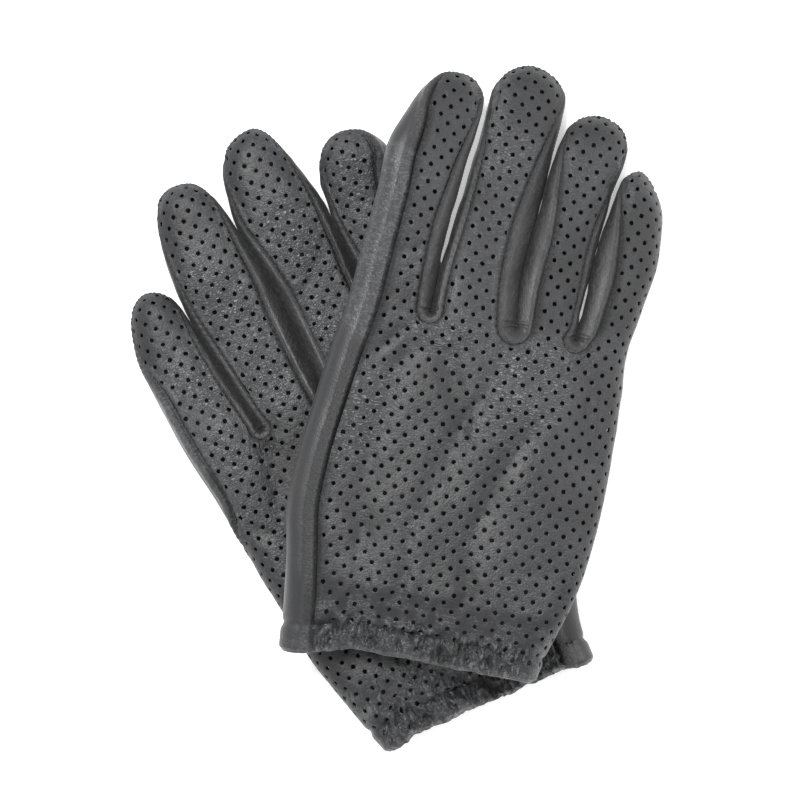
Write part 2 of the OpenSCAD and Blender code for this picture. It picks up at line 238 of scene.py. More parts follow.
def dip(g, u, v):
    """How far the cuff reaches down past its straight cut: at its corners, and in a jagged edge."""
    jag = (0.5 * noise(u, 0 * v, 2.6, 39) + 0.3 * noise(u, 0 * v, 1.1, 44)) * cuffward(v, -111, 8)
    if g == LEFT:
        return 2.0 * smooth((np.abs(u - 3) - 26) / 14) * cuffward(v, -95, 22) + jag
    inner = smooth((u + 46) / 8)
    return CUFF_DIP * smooth((-22 - u) / 25) * cuffward(v, -90, 30) + 0.6 * jag * inner


def to_row(g, points):
    """Points of a glove's own frame, as metres of the row frame."""
    a = math.radians(KNUCKLE_TURN[g])
    c, s = math.cos(a), math.sin(a)
    x = KNUCKLE_AT[g][0] + points[:, 0] * c - points[:, 1] * s
    y = KNUCKLE_AT[g][1] + points[:, 0] * s + points[:, 1] * c
    return np.stack([x, y, points[:, 2]], 1) / 1000


def turned(g, normals):
    """Directions of a glove's own frame, in the row frame."""
    a = math.radians(KNUCKLE_TURN[g])
    out = normals.copy()
    out[:, 0] = normals[:, 0] * math.cos(a) - normals[:, 1] * math.sin(a)
    out[:, 1] = normals[:, 0] * math.sin(a) + normals[:, 1] * math.cos(a)
    return out


def lengths_along(points):
    """Distance of each point from the first one, along the line through them."""
    return np.concatenate([[0], np.cumsum(np.linalg.norm(np.diff(points, axis=0), axis=1))])


def tree_of(points):
    tree = KDTree(len(points))
    for i, (x, y) in enumerate(points):
        tree.insert((x, y, 0), i)
    tree.balance()
    return tree


def distances(tree, points):
    return np.array([tree.find((x, y, 0))[2] for x, y in points])


def cubic(x, y, q):
    """Smooth curve through the points (x, y), read at q."""
    x, y = np.asarray(x, float), np.asarray(y, float)
    q = np.clip(q, x[0], x[-1])
    step = np.diff(x)
    slope = np.diff(y) / step
    tangent = np.concatenate([
        slope[:1],
        (slope[:-1] * step[1:] + slope[1:] * step[:-1]) / (step[:-1] + step[1:]),
        slope[-1:],
    ])
    i = np.clip(np.searchsorted(x, q) - 1, 0, len(step) - 1)
    t = (q - x[i]) / step[i]
    a, b = y[i], y[i + 1]
    ta, tb = tangent[i] * step[i], tangent[i + 1] * step[i]
    return a + t * ta + t * t * (3 * (b - a) - 2 * ta - tb) + t ** 3 * (2 * (a - b) + ta + tb)


def spline(points, steps):
    """A smooth line through the points, with steps points from each to the next."""
    p = np.asarray(points, float)
    p = np.concatenate([2 * p[:1] - p[1:2], p, 2 * p[-1:] - p[-2:-1]])
    out = []
    for k in range(1, len(p) - 2):
        a, b, c, d = p[k - 1:k + 3]
        for t in np.arange(steps) / steps:
            out.append(0.5 * (2 * b + (c - a) * t + (2 * a - 5 * b + 4 * c - d) * t * t
                              + (3 * b - a - 3 * c + d) * t ** 3))
    return np.array(out + [p[-2]])


# ---------------------------------------------------------------- repeatable noise
def hashed(ix, iy, seed):
    """A number from -1 to 1 for each cell of a grid, from large odd multipliers and shifted bits."""
    n = (ix * 374761393 + iy * 668265263 + seed * 974634777) & 0xFFFFFFFF
    n = ((n ^ (n >> 13)) * 1274126177) & 0xFFFFFFFF
    return ((n ^ (n >> 16)) & 0xFFFF) / 65535.0 * 2 - 1


def noise(x, y, size, seed):
    """Smooth noise from -1 to 1 with features about size wide."""
    x, y = np.asarray(x) / size + 1000.0, np.asarray(y) / size + 1000.0
    ix, iy = np.floor(x).astype(np.int64), np.floor(y).astype(np.int64)
    fx, fy = smooth(x - ix), smooth(y - iy)
    top = hashed(ix, iy, seed) * (1 - fx) + hashed(ix + 1, iy, seed) * fx
    low = hashed(ix, iy + 1, seed) * (1 - fx) + hashed(ix + 1, iy + 1, seed) * fx
    return top * (1 - fy) + low * fy


# ---------------------------------------------------------------- outlines
class Line:
    """A dense open line with normals to its right, and the numbers that go with each of its points."""

    def __init__(self, points, extra, spacing=0.3, soften=1.2):
        s = lengths_along(points)
        keep = np.concatenate([[True], np.diff(s) > 1e-9])
        s, points = s[keep], points[keep]
        extra = {k: np.asarray(x, float)[keep] for k, x in extra.items()}
        places = np.linspace(0, s[-1], int(s[-1] / spacing) + 1)
        self.step = places[1]
        self.p = np.stack([np.interp(places, s, points[:, k]) for k in (0, 1)], 1)
        self.p = self.soft(self.p, soften)
        self.extra = {k: np.interp(places, s, x) for k, x in extra.items()}
        tangent = np.gradient(self.p, axis=0)
        tangent /= np.linalg.norm(tangent, axis=1)[:, None]
        self.t = tangent
        self.n = np.stack([tangent[:, 1], -tangent[:, 0]], 1)
        self.tree = tree_of(self.p)

    def soft(self, values, width):
        """Running average along the line."""
        if width <= 0:
            return values
        k = max(1, int(3 * width / self.step))
        weights = np.exp(-0.5 * (np.arange(-k, k + 1) * self.step / width) ** 2)
        weights /= weights.sum()
        flat = values if values.ndim == 2 else values[:, None]
        padded = np.concatenate([2 * flat[:1] - flat[k:0:-1], flat, 2 * flat[-1:] - flat[-2:-k - 2:-1]])
        out = np.stack([np.convolve(padded[:, c], weights, "valid") for c in range(flat.shape[1])], 1)
        return out if values.ndim == 2 else out[:, 0]

    def nearest(self, q):
        """For each point of q: index on the line as a number with a fraction, signed distance and normal."""
        j = np.array([self.tree.find((x, y, 0))[1] for x, y in q])
        along = ((q - self.p[j]) * self.t[j]).sum(1)
        k = np.clip(np.where(along > 0, j + 1, j - 1), 0, len(self.p) - 1)
        other = ((q - self.p[k]) * self.t[k]).sum(1)
        gap = along - other
        f = np.clip(np.where(np.abs(gap) > 1e-9, along / np.where(gap == 0, 1, gap), 0), 0, 1)
        foot = self.p[j] * (1 - f)[:, None] + self.p[k] * f[:, None]
        normal = self.n[j] * (1 - f)[:, None] + self.n[k] * f[:, None]
        normal /= np.linalg.norm(normal, axis=1)[:, None]
        return j * (1 - f) + k * f, ((q - foot) * normal).sum(1), normal


def arc_of(inset):
    """Distance along the leather from the outline's edge, for a line seen at that inset."""
    inset = np.asarray(inset, float)
    curved = EDGE_ROUND * np.arccos(np.clip(1 - inset / EDGE_ROUND, -1, 1))
    return np.where(inset < EDGE_ROUND, curved, inset + SPREAD)


# The back's seam runs under the rounded edge on the little-finger side, and the left glove's comes up there
UNDER_EDGE = -math.pi / 4 * EDGE_ROUND
LEFT_STRIP, LEFT_STRIP_FROM = 4.0, -48


def on_hand_edge(i, k):
    """Whether side k of finger i runs on down the hand, and isn't the side of a slit."""
    return (i, k) in ((0, 0), (3, 1))


def band_width(g, i, k, v):
    """How far along the leather from the outline the back's seam runs, at side k of finger i."""
    share = v / FINGER_TIPS[g][i][0]
    name = FINGER_NAMES[g][i]
    if not on_hand_edge(i, k):
        return max(SEAM_END, float(arc_of(BAND[g][i][k] * np.interp(share, *BAND_SHARE))))
    if name == "index":
        return max(SEAM_END, float(arc_of(INDEX_STRIP * np.interp(share, *STRIP_SHARE))))
    if g == RIGHT:
        return UNDER_EDGE * (1 - float(smooth((share - 0.5) / 0.5)))
    low = float(smooth((v - LEFT_STRIP_FROM) / 30))
    high = 1 - float(smooth((share - 0.35) / 0.5))
    return (UNDER_EDGE + (float(arc_of(LEFT_STRIP)) - UNDER_EDGE) * low) * high


def outline(g):
    """A glove's outline, from the cuff up the left side, round every finger, and down to the cuff.

    Each of its points has the seam's place along the leather. The cuts part it into four fingers.
    """
    points, seams = [], []
    tips, rows = FINGER_TIPS[g], FINGER_ROWS[g]

    def add(u, v, i, k):
        points.append((float(u), float(v)))
        seams.append(float(band_width(g, i, k, v)))

    def edge(i, k, values):
        column = [(r[0], r[k + 1]) for r in rows[i]]
        if on_hand_edge(i, k):
            column = [(r[0], r[k + 1]) for r in HAND_ROWS[g]] + column[1:]
        us = cubic(*zip(*column), np.asarray(values, float))
        for u, v in zip(us, values):
            add(u, v, i, k)

    for i in range(4):
        end = rows[i][-1][0]
        start = OUTLINE_END if i == 0 else 0
        edge(i, 0, np.arange(start, end, 0.4))
        for u, v in spline(FINGER_ENDS[g][i], 6):
            add(u, v, i, 0 if u < tips[i][1] else 1)
        stop = OUTLINE_END if i == 3 else 0
        edge(i, 1, np.arange(end, stop, -0.4))
        if i < 3:
            left, right = rows[i][0][2], rows[i + 1][0][1]
            middle, radius = (left + right) / 2, (right - left) / 2
            for a in np.radians(np.arange(0, 181, 15)):
                points.append((middle - radius * math.cos(a), -radius * math.sin(a)))
                seams.append(float(arc_of(CROTCH_BAND)))
    line = Line(np.array(points), {"seam": seams}, 0.15, 0.5)
    line.extra["seam"] = line.soft(line.extra["seam"], 2.5)
    # Where each finger starts and ends on the line: the lowest point between two fingers
    cuts = [0]
    for i in range(3):
        middle = (rows[i][0][2] + rows[i + 1][0][1]) / 2
        cuts.append(int(np.argmin(np.hypot(line.p[:, 0] - middle, line.p[:, 1] + 0.5))))
    line.cuts = cuts + [len(line.p) - 1]
    return line


OUTLINES = [outline(g) for g in (LEFT, RIGHT)]


def part_of(line, a, b):
    """The stretch of a line from point a up to point b."""
    piece = object.__new__(Line)
    piece.p, piece.t, piece.n, piece.step = line.p[a:b], line.t[a:b], line.n[a:b], line.step
    piece.extra = {k: x[a:b] for k, x in line.extra.items()}
    piece.tree = tree_of(piece.p)
    return piece


# The outline of each finger alone, and then that of the whole hand
OWN = [[part_of(line, line.cuts[i], line.cuts[i + 1] + 1) for i in range(4)] + [line] for line in OUTLINES]


def rolled(arc):
    """Inset from the outline, and angle round the edge, of leather that far along its surface."""
    angle = np.clip(arc / EDGE_ROUND, -math.pi / 2, math.pi / 2)
    size = np.abs(arc)
    return np.where(size < ARC, EDGE_ROUND * (1 - np.cos(angle)), size - SPREAD), angle


def finger_sag(g, i, v):
    return np.zeros_like(v) if i == WHOLE_HAND else FINGER_SAG[g][i] * smooth(v / FINGER_TIPS[g][i][0])


def half_thickness(g, i, v):
    if i == WHOLE_HAND:
        return np.full_like(v, HAND_HALF)
    return HAND_HALF + (FINGER_HALF - HAND_HALF) * smooth(v / FINGER_TIPS[g][i][0] / 0.4)


FINGER_CROWN, HAND_CROWN = 0.55, (0.25, 0.9)


def crown(g, v, depth, up):
    """How far the middle of a back stands proud of its rounded edges. Palms are flat."""
    if up < 0:
        return np.zeros_like(depth)
    finger = FINGER_CROWN * smooth((depth - 3) / 10)
    hand = HAND_CROWN[g] * smooth((depth - 3) / 30)
    share = smooth(-v / 25)
    return finger * (1 - share) + hand * share


def lay(g, i, q, up):
    """Points of piece i's unrolled leather, laid in space, and their distance inside the outline.

    up is 1 for the back and -1 for the palm, here and everywhere below.
    """
    _, depth, normal = OWN[g][i].nearest(q)
    inset, angle = rolled(depth + SPREAD)
    flat = q + normal * (inset - depth)[:, None]
    # Near the cuff a point slides along the edge until it is back at its own v
    slide = cuffward(q[:, 1], -92, 28) * (q[:, 1] - flat[:, 1])
    upright = np.abs(normal[:, 0]) > 0.5
    slope = np.where(upright, normal[:, 1] / np.where(upright, normal[:, 0], 1), 0)
    u, v = flat[:, 0] - slope * slide, flat[:, 1] + slide
    height = half_thickness(g, i, v) * np.sin(angle) + crown(g, v, depth, up)
    z = drape(g, u, v) - finger_sag(g, i, v) + up * height
    return np.stack([u, v - dip(g, u, v), z], 1), depth


# ---------------------------------------------------------------- relief
def ridge(u, v, path, width, height, seed):
    """A soft fold along a path of points, which fades at its ends."""
    line = np.asarray(path, float)
    best = np.full(len(u), 1e9)
    share = np.zeros(len(u))
    n = len(line) - 1
    for k in range(n):
        a, b = line[k], line[k + 1]
        d = b - a
        t = np.clip(((u - a[0]) * d[0] + (v - a[1]) * d[1]) / (d @ d), 0, 1)
        distance = np.hypot(u - a[0] - t * d[0], v - a[1] - t * d[1])
        near = distance < best
        best = np.where(near, distance, best)
        share = np.where(near, (k + t) / n, share)
    wander = 1 + 0.35 * noise(u, v, 9, seed)
    return height * bell(best, width * wander) * np.sin(np.pi * np.clip(share * 0.94 + 0.03, 0, 1)) ** 0.6


def bump(u, v, at, long, wide, turn, height):
    """A soft oval mound."""
    a = math.radians(turn)
    x = (u - at[0]) * math.cos(a) + (v - at[1]) * math.sin(a)
    y = -(u - at[0]) * math.sin(a) + (v - at[1]) * math.cos(a)
    return height * np.exp(-((x / long) ** 2) - (y / wide) ** 2)


# Soft bumps on the backs: centre, half length, half width, turn in degrees, height, and how worn they are,
# which also sets the painted highlight on their crests
BUMPS = (
    ((-36, -40, 16, 9, 60, 0.8, 0.5), (-45, 25, 13, 7, 100, 0.8, 0.8), (-24, 45, 16, 8, 105, 0.9, 1.0),
     (-24, 20, 14, 7, 100, 0.7, 0.8), (7, 60, 14, 8, 95, 0.9, 1.0), (2, 25, 12, 7, 95, 0.7, 0.7),
     (-46, -12, 18, 8, 80, 0.7, 0.6), (36, 70, 9, 7, 90, 0.6, 1.0), (10, -100, 30, 9, 0, 0.9, 0.7)),
    ((-42, -41, 17, 10, 70, 1.5, 1.3), (17, -24, 13, 9, 60, 1.3, 1.2), (-18, -7, 9, 5, 0, 1.1, 1.2),
     (27, -30, 14, 8, 110, 0.8, 0.2), (-10, -60, 22, 12, 70, 0.35, 0.1), (24, -72, 18, 12, 90, 0.3, 0.1),
     (20, -8, 10, 5, 0, 0.7, 0.6), (-35, 35, 14, 8, 90, 0.4, 0.2), (-5, 60, 12, 8, 90, 0.4, 0.3)),
)
# Soft folds on the backs: path, half width, and height, below zero for a valley
FOLDS = (
    ((((-57, -20), (-45, -34), (-30, -42)), 3.0, -0.7), (((-31, -3), (-34, -22), (-40, -40)), 3.5, -0.8),
     (((-5, -3), (-10, -20), (-12, -40)), 3.5, -0.7), (((-50, -55), (-30, -75), (-15, -100)), 4.0, -0.7),
     (((-34, 12), (-24, 22), (-14, 26)), 2.2, -0.6), (((-34, 40), (-24, 46), (-12, 56)), 2.0, -0.6),
     (((-5, 35), (6, 40), (18, 52)), 2.0, -0.6), (((-5, 62), (6, 66), (18, 64)), 1.8, -0.5),
     (((-58, 18), (-48, 24), (-38, 24)), 2.0, -0.5), (((-56, 36), (-48, 36), (-40, 40)), 1.6, -0.4)),
    ((((-20, -6), (-29, -22), (-33, -50), (-28, -80)), 4.0, -1.1),
     (((-20, -5), (-12, -14), (-3, -34), (-2, -62)), 4.0, -1.0),
     (((8, -7), (4, -24), (-6, -46), (-12, -78)), 3.6, -0.9),
     (((33, -7), (24, -30), (14, -52), (6, -84)), 4.0, -0.9),
     (((-22, -3), (-30, -9), (-36, -18)), 1.6, -0.7), (((-17, -4), (-8, -7), (0, -12)), 1.6, -0.7),
     (((12, -6), (20, -14), (24, -26)), 1.6, -0.6), (((36, -8), (40, -22), (42, -42)), 2.4, -0.6),
     (((-40, -62), (-30, -78), (-28, -96)), 3.2, -0.7), (((-14, -72), (-12, -90), (-14, -104)), 2.6, -0.7),
     (((8, -80), (10, -94), (6, -106)), 2.6, -0.6), (((-44, 8), (-36, 18), (-26, 22)), 2.0, -0.3),
     (((-16, 12), (-6, 20), (5, 22)), 2.2, -0.3), (((12, 14), (20, 24), (28, 26)), 2.0, -0.35)),
)
# How much higher each glove's bumps, folds and gathers stand than written, as fitted to the photo
BUMP_SCALE = (1.1, 1.5)
FOLD_SCALE = (1.3, 1.5)
GATHER_SCALE = (1.7, 1.15)
# Where each cuff gathers and crumples: across it as for between(), and along it as for cuffward()
GATHER_ACROSS = ((-38, 8, 46, 8), (-48, 14, 36, 10))
GATHER_REACH = ((-68, 30), (-80, 28))
PUCKER_ACROSS = ((-46, 8, 50, 8), (-50, 10, 40, 8))
PUCKER_REACH = ((-92, 12), (-106, 5))


def gathers(g, u, v):
    """The cuff's small folds, where the elastic draws it together."""
    across = between(u, *GATHER_ACROSS[g])
    swerve = u + 1.4 * noise(u, v, 7, 31) + 0.5 * noise(u, v, 2.4, 32)
    reach = cuffward(v, *GATHER_REACH[g])
    long_folds = 0.9 * noise(swerve, v * 0.22, 5.2, 35) + 0.5 * noise(swerve, v * 0.4, 2.7, 37)
    seam = bell(v + HAND_LENGTH - HEM, 4.2)
    band = cuffward(v, -108, 5)
    ruck = 1 - 3.0 * np.abs(noise(swerve, v * 0.6, 2.5, 36)) + 0.6 * noise(swerve * 1.7, v * 0.7, 1.8, 38)
    rucked = 0.7 * seam + 0.55 * band * GATHER_SCALE[g]
    return across * (GATHER_SCALE[g] * reach * long_folds + rucked * ruck)


def hem_relief(v):
    """Between its stitches and the edge the turned hem is thicker, and the stitches pull it in."""
    x = v + HAND_LENGTH
    return 0.4 * smooth(x / 1.5) * smooth((HEM - x) / 2.5) - 0.7 * bell(x - HEM, 0.9) - 0.8 * bell(x, 0.7)


def wear_and_highlight_at(g, u, v):
    """How rubbed the leather is, mostly on its bumps. The material paints it pale: partly rubbed wear, partly
    a painted highlight on the crests.
    """
    worn_and_highlighted = np.zeros(len(u))
    for x, y, long, wide, turn, _, amount in BUMPS[g]:
        worn_and_highlighted = np.maximum(worn_and_highlighted, bump(u, v, (x, y), long * 1.1, wide * 1.1, turn, amount))
    patchy = smooth(0.5 + 0.9 * noise(u, v, 6, 57))
    return np.clip(worn_and_highlighted * (0.7 + 0.8 * patchy) + 0.18 * smooth(noise(u, v, 15, 58) * 1.6), 0, 1)


def pucker_at(g, u, v):
    """How strongly the leather is crumpled: at the cuffs' elastic and at the ends of the slits."""
    out = between(u, *PUCKER_ACROSS[g]) * cuffward(v, *PUCKER_REACH[g])
    patchy = smooth(0.75 + noise(u, v, 5, 47))
    for cut in OUTLINES[g].cuts[1:-1]:
        low = OUTLINES[g].p[cut]
        away = np.hypot(u - low[0], v - low[1] + 3)
        out = np.maximum(out, 0.55 * np.exp(-(away / 7.5) ** 2))
    return out * patchy


def back_relief(g, u, v, worn_and_highlighted):
    """How far the back's leather stands off its plain form."""
    out = 0.32 * noise(u, v, 17, 3 + g) + 0.12 * noise(u, v, 7, 5 + g)
    out = out * (1 - 0.4 * smooth((v + 12) / 20))
    for x, y, long, wide, turn, height, _ in BUMPS[g]:
        out = out + bump(u, v, (x, y), long, wide, turn, height * BUMP_SCALE[g])
    for k, (path, width, height) in enumerate(FOLDS[g]):
        out = out + ridge(u, v, path, width, height * FOLD_SCALE[g], 40 + k)
    # Creases across the fingers, and every way on the hand
    across = 0.5 + 0.5 * smooth(-v / 20)
    crease = np.abs(noise(u * across + 1.2 * noise(u, v, 4, 51), v, 2.6, 52))
    out = out + worn_and_highlighted * (0.2 - 0.5 * bell(crease, 0.25))
    return out + gathers(g, u, v) + hem_relief(v)


def palm_relief(g, u, v, depth):
    """How far the palm's leather stands off its plain form."""
    out = 0.3 * noise(u, v, 19, 11 + g) + 0.08 * noise(u, v, 6, 13 + g)
    out = out - 0.35 * bell(noise(u * 0.5, v, 16, 15), 0.16) * smooth((depth - 4) / 10)
    return out * 0.8 + hem_relief(v)


# A turned seam's groove, and how far from it the strip along the index side is rough
GROOVE_DEPTH, GROOVE_WIDTH = 1.35, 0.85
ROUGH_REACH = 4.9


def seam_relief(distance, along, seed, ridge_height=0.25, rough=0.0):
    """Next to a turned seam the leather dips into the groove, and puckers at every stitch."""
    phase = 2 * math.pi * along / STITCH_PITCH + 0.8 * noise(along, 0 * along, 5, seed)
    pucker = 0.24 * np.sin(phase) * bell(distance - 0.9, 1.1)
    out = -GROOVE_DEPTH * bell(distance, GROOVE_WIDTH) + ridge_height * bell(distance - 1.9, 1.0) + pucker
    if rough > 0:
        band = between(distance, 0.5, 0.5, ROUGH_REACH, 1.0)
        out = out + band * (rough * 2.2 + rough * noise(along, distance, 1.2, seed + 1))
    return out


# ---------------------------------------------------------------- flat meshes
def resample(points, spacing):
    """Points at an even spacing along the line through the given ones."""
    s = lengths_along(points)
    n = max(2, int(round(s[-1] / spacing)) + 1)
    q = np.linspace(0, s[-1], n)
    return np.stack([np.interp(q, s, points[:, k]) for k in (0, 1)], 1)


def slit_ends(g, j):
    """Where on the outline the strip in slit j starts and stops, past 0.9 of its fingers' lengths."""
    line = OUTLINES[g]
    left_top, right_top = (0.9 * FINGER_TIPS[g][i][0] for i in (j, j + 1))
    v = line.p[:, 1]
    start = stop = line.cuts[j + 1]
    while v[start] < v[start - 1] or v[start] < left_top:
        start -= 1
    while v[stop] < v[stop + 1] or v[stop] < right_top:
        stop += 1
    return start, stop


def seam_line(g, up):
    """The edge of the back (up 1) or palm (up -1) in its unrolled plane, from the cuff round to the cuff."""
    line = OUTLINES[g]
    seam = line.extra["seam"].copy()
    if up < 0:
        inner = np.zeros(len(seam), bool)
        for j in range(3):
            start, stop = slit_ends(g, j)
            inner[start:stop + 1] = True
        seam = np.where(inner, np.abs(seam) * PALM_SEAM, -seam)
        seam = line.soft(seam, 1.2)
    return resample(line.p + line.n * (seam - SPREAD)[:, None], 0.3)


def crossings(points, level):
    """Where along a line it crosses a level of v."""
    v = points[:, 1] - level
    return [i for i in range(len(v) - 1) if (v[i] < 0) != (v[i + 1] < 0)]


def cross_point(points, i, level):
    a, b = points[i], points[i + 1]
    t = (level - a[1]) / (b[1] - a[1])
    return np.array([a[0] + t * (b[0] - a[0]), level])


def inside(points, loop):
    """Which points lie inside a closed loop."""
    x, y = points[:, 0][:, None], points[:, 1][:, None]
    a, b = loop, np.roll(loop, -1, 0)
    out = np.zeros(len(points), bool)
    for k in range(0, len(points), 2000):
        xs, ys = x[k:k + 2000], y[k:k + 2000]
        straddle = (a[:, 1] > ys) != (b[:, 1] > ys)
        rise = np.where(b[:, 1] == a[:, 1], 1e-12, b[:, 1] - a[:, 1])
        at = a[:, 0] + (ys - a[:, 1]) / rise * (b[:, 0] - a[:, 0])
        out[k:k + 2000] = (straddle & (xs < at)).sum(1) % 2 == 1
    return out


# The punched holes stand in staggered rows. Spacing is between holes of one row
HOLE_RADIUS = 0.82
HOLE_SIDES = 10
HOLE_SPACING = 6.05
HOLE_SHIFT = (1.1, 0)
HOLE_JITTER = 0.1
HOLE_TO_SEAM = 1.75
HEM_HOLES_LEFT = 0.3
# Room kept clear in the mesh round a hole and inside a loop, and a ring of points close round each hole
HOLE_CLEARANCE, LOOP_CLEARANCE, COLLAR = 0.62, 0.33, 0.34
# Triangles whose middle is this share of the radius from a hole's centre, or closer, are left out
HOLE_OPEN = 0.84
SMALLEST_AREA = 1e-7


def hole_centres(g, loops, seam):
    """Centres of the holes inside the loops, clear of the seam and few in the turned hem."""
    rng = np.random.default_rng(7 + g)
    half = HOLE_SPACING / 2
    rows = []
    for j in range(-48, 40):
        for i in range(-16, 17):
            rows.append((HOLE_SPACING * i + (half if j % 2 else 0) + HOLE_SHIFT[g], half * j + half / 2))
    centres = np.array(rows) + rng.uniform(-HOLE_JITTER, HOLE_JITTER, (len(rows), 2))
    keep = np.zeros(len(centres), bool)
    for loop in loops:
        keep |= inside(centres, loop)
    centres = centres[keep]
    centres = centres[distances(seam.tree, centres) > HOLE_TO_SEAM]
    chance = np.random.default_rng(17 + g).uniform(0, 1, len(centres))
    from_edge = centres[:, 1] + HAND_LENGTH
    return centres[(from_edge > HEM - 0.5) | ((from_edge > 2) & (chance < HEM_HOLES_LEFT))]


def compact(tris, count):
    """The points that some triangles use, and the new number of each of all points."""
    used = np.unique(tris)
    number = np.full(count, -1)
    number[used] = np.arange(len(used))
    return used, number


def staggered(low, high, step):
    """Points in staggered rows that fill a box."""
    x, y = np.meshgrid(np.arange(low[0], high[0], step), np.arange(low[1], high[1], step * 0.866))
    x = x + (np.arange(len(y)) % 2)[:, None] * step / 2
    return np.stack([x.ravel(), y.ravel()], 1)


def thinned(points, cell=0.45):
    """Of points in the same small cell, the first stays."""
    first = {}
    for n, (x, y) in enumerate(points):
        first.setdefault((int(x / cell), int(y / cell)), n)
    return points[list(first.values())]


def around(turn=0.0):
    """Unit vectors to the corners of a hole."""
    angles = np.arange(HOLE_SIDES) * 2 * math.pi / HOLE_SIDES + turn
    return np.stack([np.cos(angles), np.sin(angles)], 1)


def hole_rims(holes):
    """Each hole's own outline, a little uneven in size and roundness."""
    shapes = np.random.default_rng(len(holes)).uniform(-1, 1, (len(holes), 3))
    rims = []
    for centre, (big, long, turn) in zip(holes, shapes):
        radii = HOLE_RADIUS * (1 + 0.07 * big)
        stretched = around() * radii * (1 + 0.09 * abs(long), 1 - 0.09 * abs(long))
        c, s = math.cos(3 * turn), math.sin(3 * turn)
        rims.append(centre + stretched @ np.array([[c, s], [-s, c]]))
    return rims


def closed_edges(first, count):
    return [(first + k, first + (k + 1) % count) for k in range(count)]


def flat_mesh(loop, seam_tree, spacing, rows, holes=None, finer=None):
    """Triangles that fill a loop, in rows beside the seam, with round holes left open.

    finer is a smaller spacing and a test of points that says where it goes.
    """
    closed = np.concatenate([loop, loop[:1]])
    tangent = np.gradient(closed, axis=0)
    normal = np.stack([tangent[:, 1], -tangent[:, 0]], 1)
    normal /= np.maximum(np.linalg.norm(normal, axis=1), 1e-9)[:, None]
    sets = []
    for depth in rows:
        ring = resample(closed + normal * depth, max(0.7, min(spacing, 0.55 + 0.2 * depth)))
        sets.append(ring[distances(seam_tree, ring) > depth * 0.96])
    low, high = loop.min(0), loop.max(0)
    filling = staggered(low, high, spacing)
    if finer is not None:
        step, where = finer
        fine = staggered(low, high, step)
        filling = np.concatenate([filling[~where(filling)], fine[where(fine)]])
    sets.append(filling[distances(seam_tree, filling) > rows[-1] + 0.45 * spacing])
    candidates = np.concatenate(sets)
    candidates = candidates[inside(candidates, loop)]
    candidates = candidates[distances(tree_of(loop), candidates) > LOOP_CLEARANCE]
    points = [loop]
    edges = closed_edges(0, len(loop))
    hole_tree = None
    if holes is not None and len(holes):
        hole_tree = tree_of(holes)
        candidates = candidates[distances(hole_tree, candidates) > HOLE_RADIUS + HOLE_CLEARANCE]
        points += hole_rims(holes)
        for k in range(len(holes)):
            edges += closed_edges(len(loop) + k * HOLE_SIDES, HOLE_SIDES)
        collars = holes[:, None] + around(0.31)[None] * (HOLE_RADIUS + COLLAR)
        points.append(collars.reshape(-1, 2))
    points.append(thinned(candidates))
    flat = np.concatenate(points)
    out = delaunay_2d_cdt([tuple(p) for p in flat], edges, [list(range(len(loop)))], 1, 1e-6)
    verts = np.array([tuple(p) for p in out[0]])
    tris = np.array([t for t in out[2] if len(t) == 3], int)
    if hole_tree is not None:
        tris = tris[distances(hole_tree, verts[tris].mean(1)) > HOLE_RADIUS * HOLE_OPEN]
    a, b, c = verts[tris[:, 0]], verts[tris[:, 1]], verts[tris[:, 2]]
    area = (b[:, 0] - a[:, 0]) * (c[:, 1] - a[:, 1]) - (b[:, 1] - a[:, 1]) * (c[:, 0] - a[:, 0])
    tris = tris[np.abs(area) > SMALLEST_AREA]
    used, number = compact(tris, len(verts))
    return verts[used], number[tris]


def grid_tris(rows, columns, ring=False, tube=False):
    """Triangles between rows of points. A ring joins the ends of each row, a tube the first and last row."""
    tris = []
    for r in range(rows if tube else rows - 1):
        for c in range(columns if ring else columns - 1):
            a, b = r * columns + c, r * columns + (c + 1) % columns
            d, e = (r + 1) % rows * columns + c, (r + 1) % rows * columns + (c + 1) % columns
            tris += [(a, b, e), (a, e, d)]
    return np.array(tris)


def normals_of(points, tris, weld=None):
    """Smooth normals. Points with the same weld number count as one."""
    face = np.cross(points[tris[:, 1]] - points[tris[:, 0]], points[tris[:, 2]] - points[tris[:, 0]])
    ids = np.arange(len(points)) if weld is None else weld
    total = np.zeros((len(points), 3))
    for k in range(3):
        np.add.at(total, ids[tris[:, k]], face)
    total = total[ids]
    return total / np.maximum(np.linalg.norm(total, axis=1), 1e-12)[:, None]


# ---------------------------------------------------------------- objects
TABLE_GAP = 0.00002


def make_object(name, points, faces, normals, flat, worn_and_highlighted, materials, slots=None, seam_shade=None, pucker=None):
    """A mesh from row-frame points in metres, with its unrolled leather as UV and three attributes."""
    mesh = bpy.data.meshes.new(name)
    # What rests on the table lies flat on it
    points = np.array(points, float)
    points[:, 2] = np.maximum(points[:, 2], TABLE_GAP)
    mesh.from_pydata([tuple(p) for p in points], [], [tuple(int(i) for i in f) for f in faces])
    for material in materials:
        mesh.materials.append(material)
    mesh.polygons.foreach_set("use_smooth", [True] * len(mesh.polygons))
    if slots is not None:
        mesh.polygons.foreach_set("material_index", np.asarray(slots, np.int32))
    uv = mesh.uv_layers.new(name="leather")
    corner = np.empty(len(mesh.loops), np.int32)
    mesh.loops.foreach_get("vertex_index", corner)
    uv.data.foreach_set("uv", (np.asarray(flat)[corner] / 10).astype(np.float32).ravel())
    # Attributes for the material: wear that also places painted highlights, painted shade along the seams,
    # and the crumple's pucker
    for key, values in (("wear_and_highlight", worn_and_highlighted), ("seam_shade", seam_shade), ("pucker", pucker)):
        attribute = mesh.attributes.new(key, "FLOAT", "POINT")
        values = np.zeros(len(points)) if values is None else values
        attribute.data.foreach_set("value", np.asarray(values, np.float32))
    mesh.update()
    if normals is not None:
        mesh.normals_split_custom_set_from_vertices([tuple(n) for n in normals])
    obj = bpy.data.objects.new(name, mesh)
    scene.collection.objects.link(obj)
    return obj


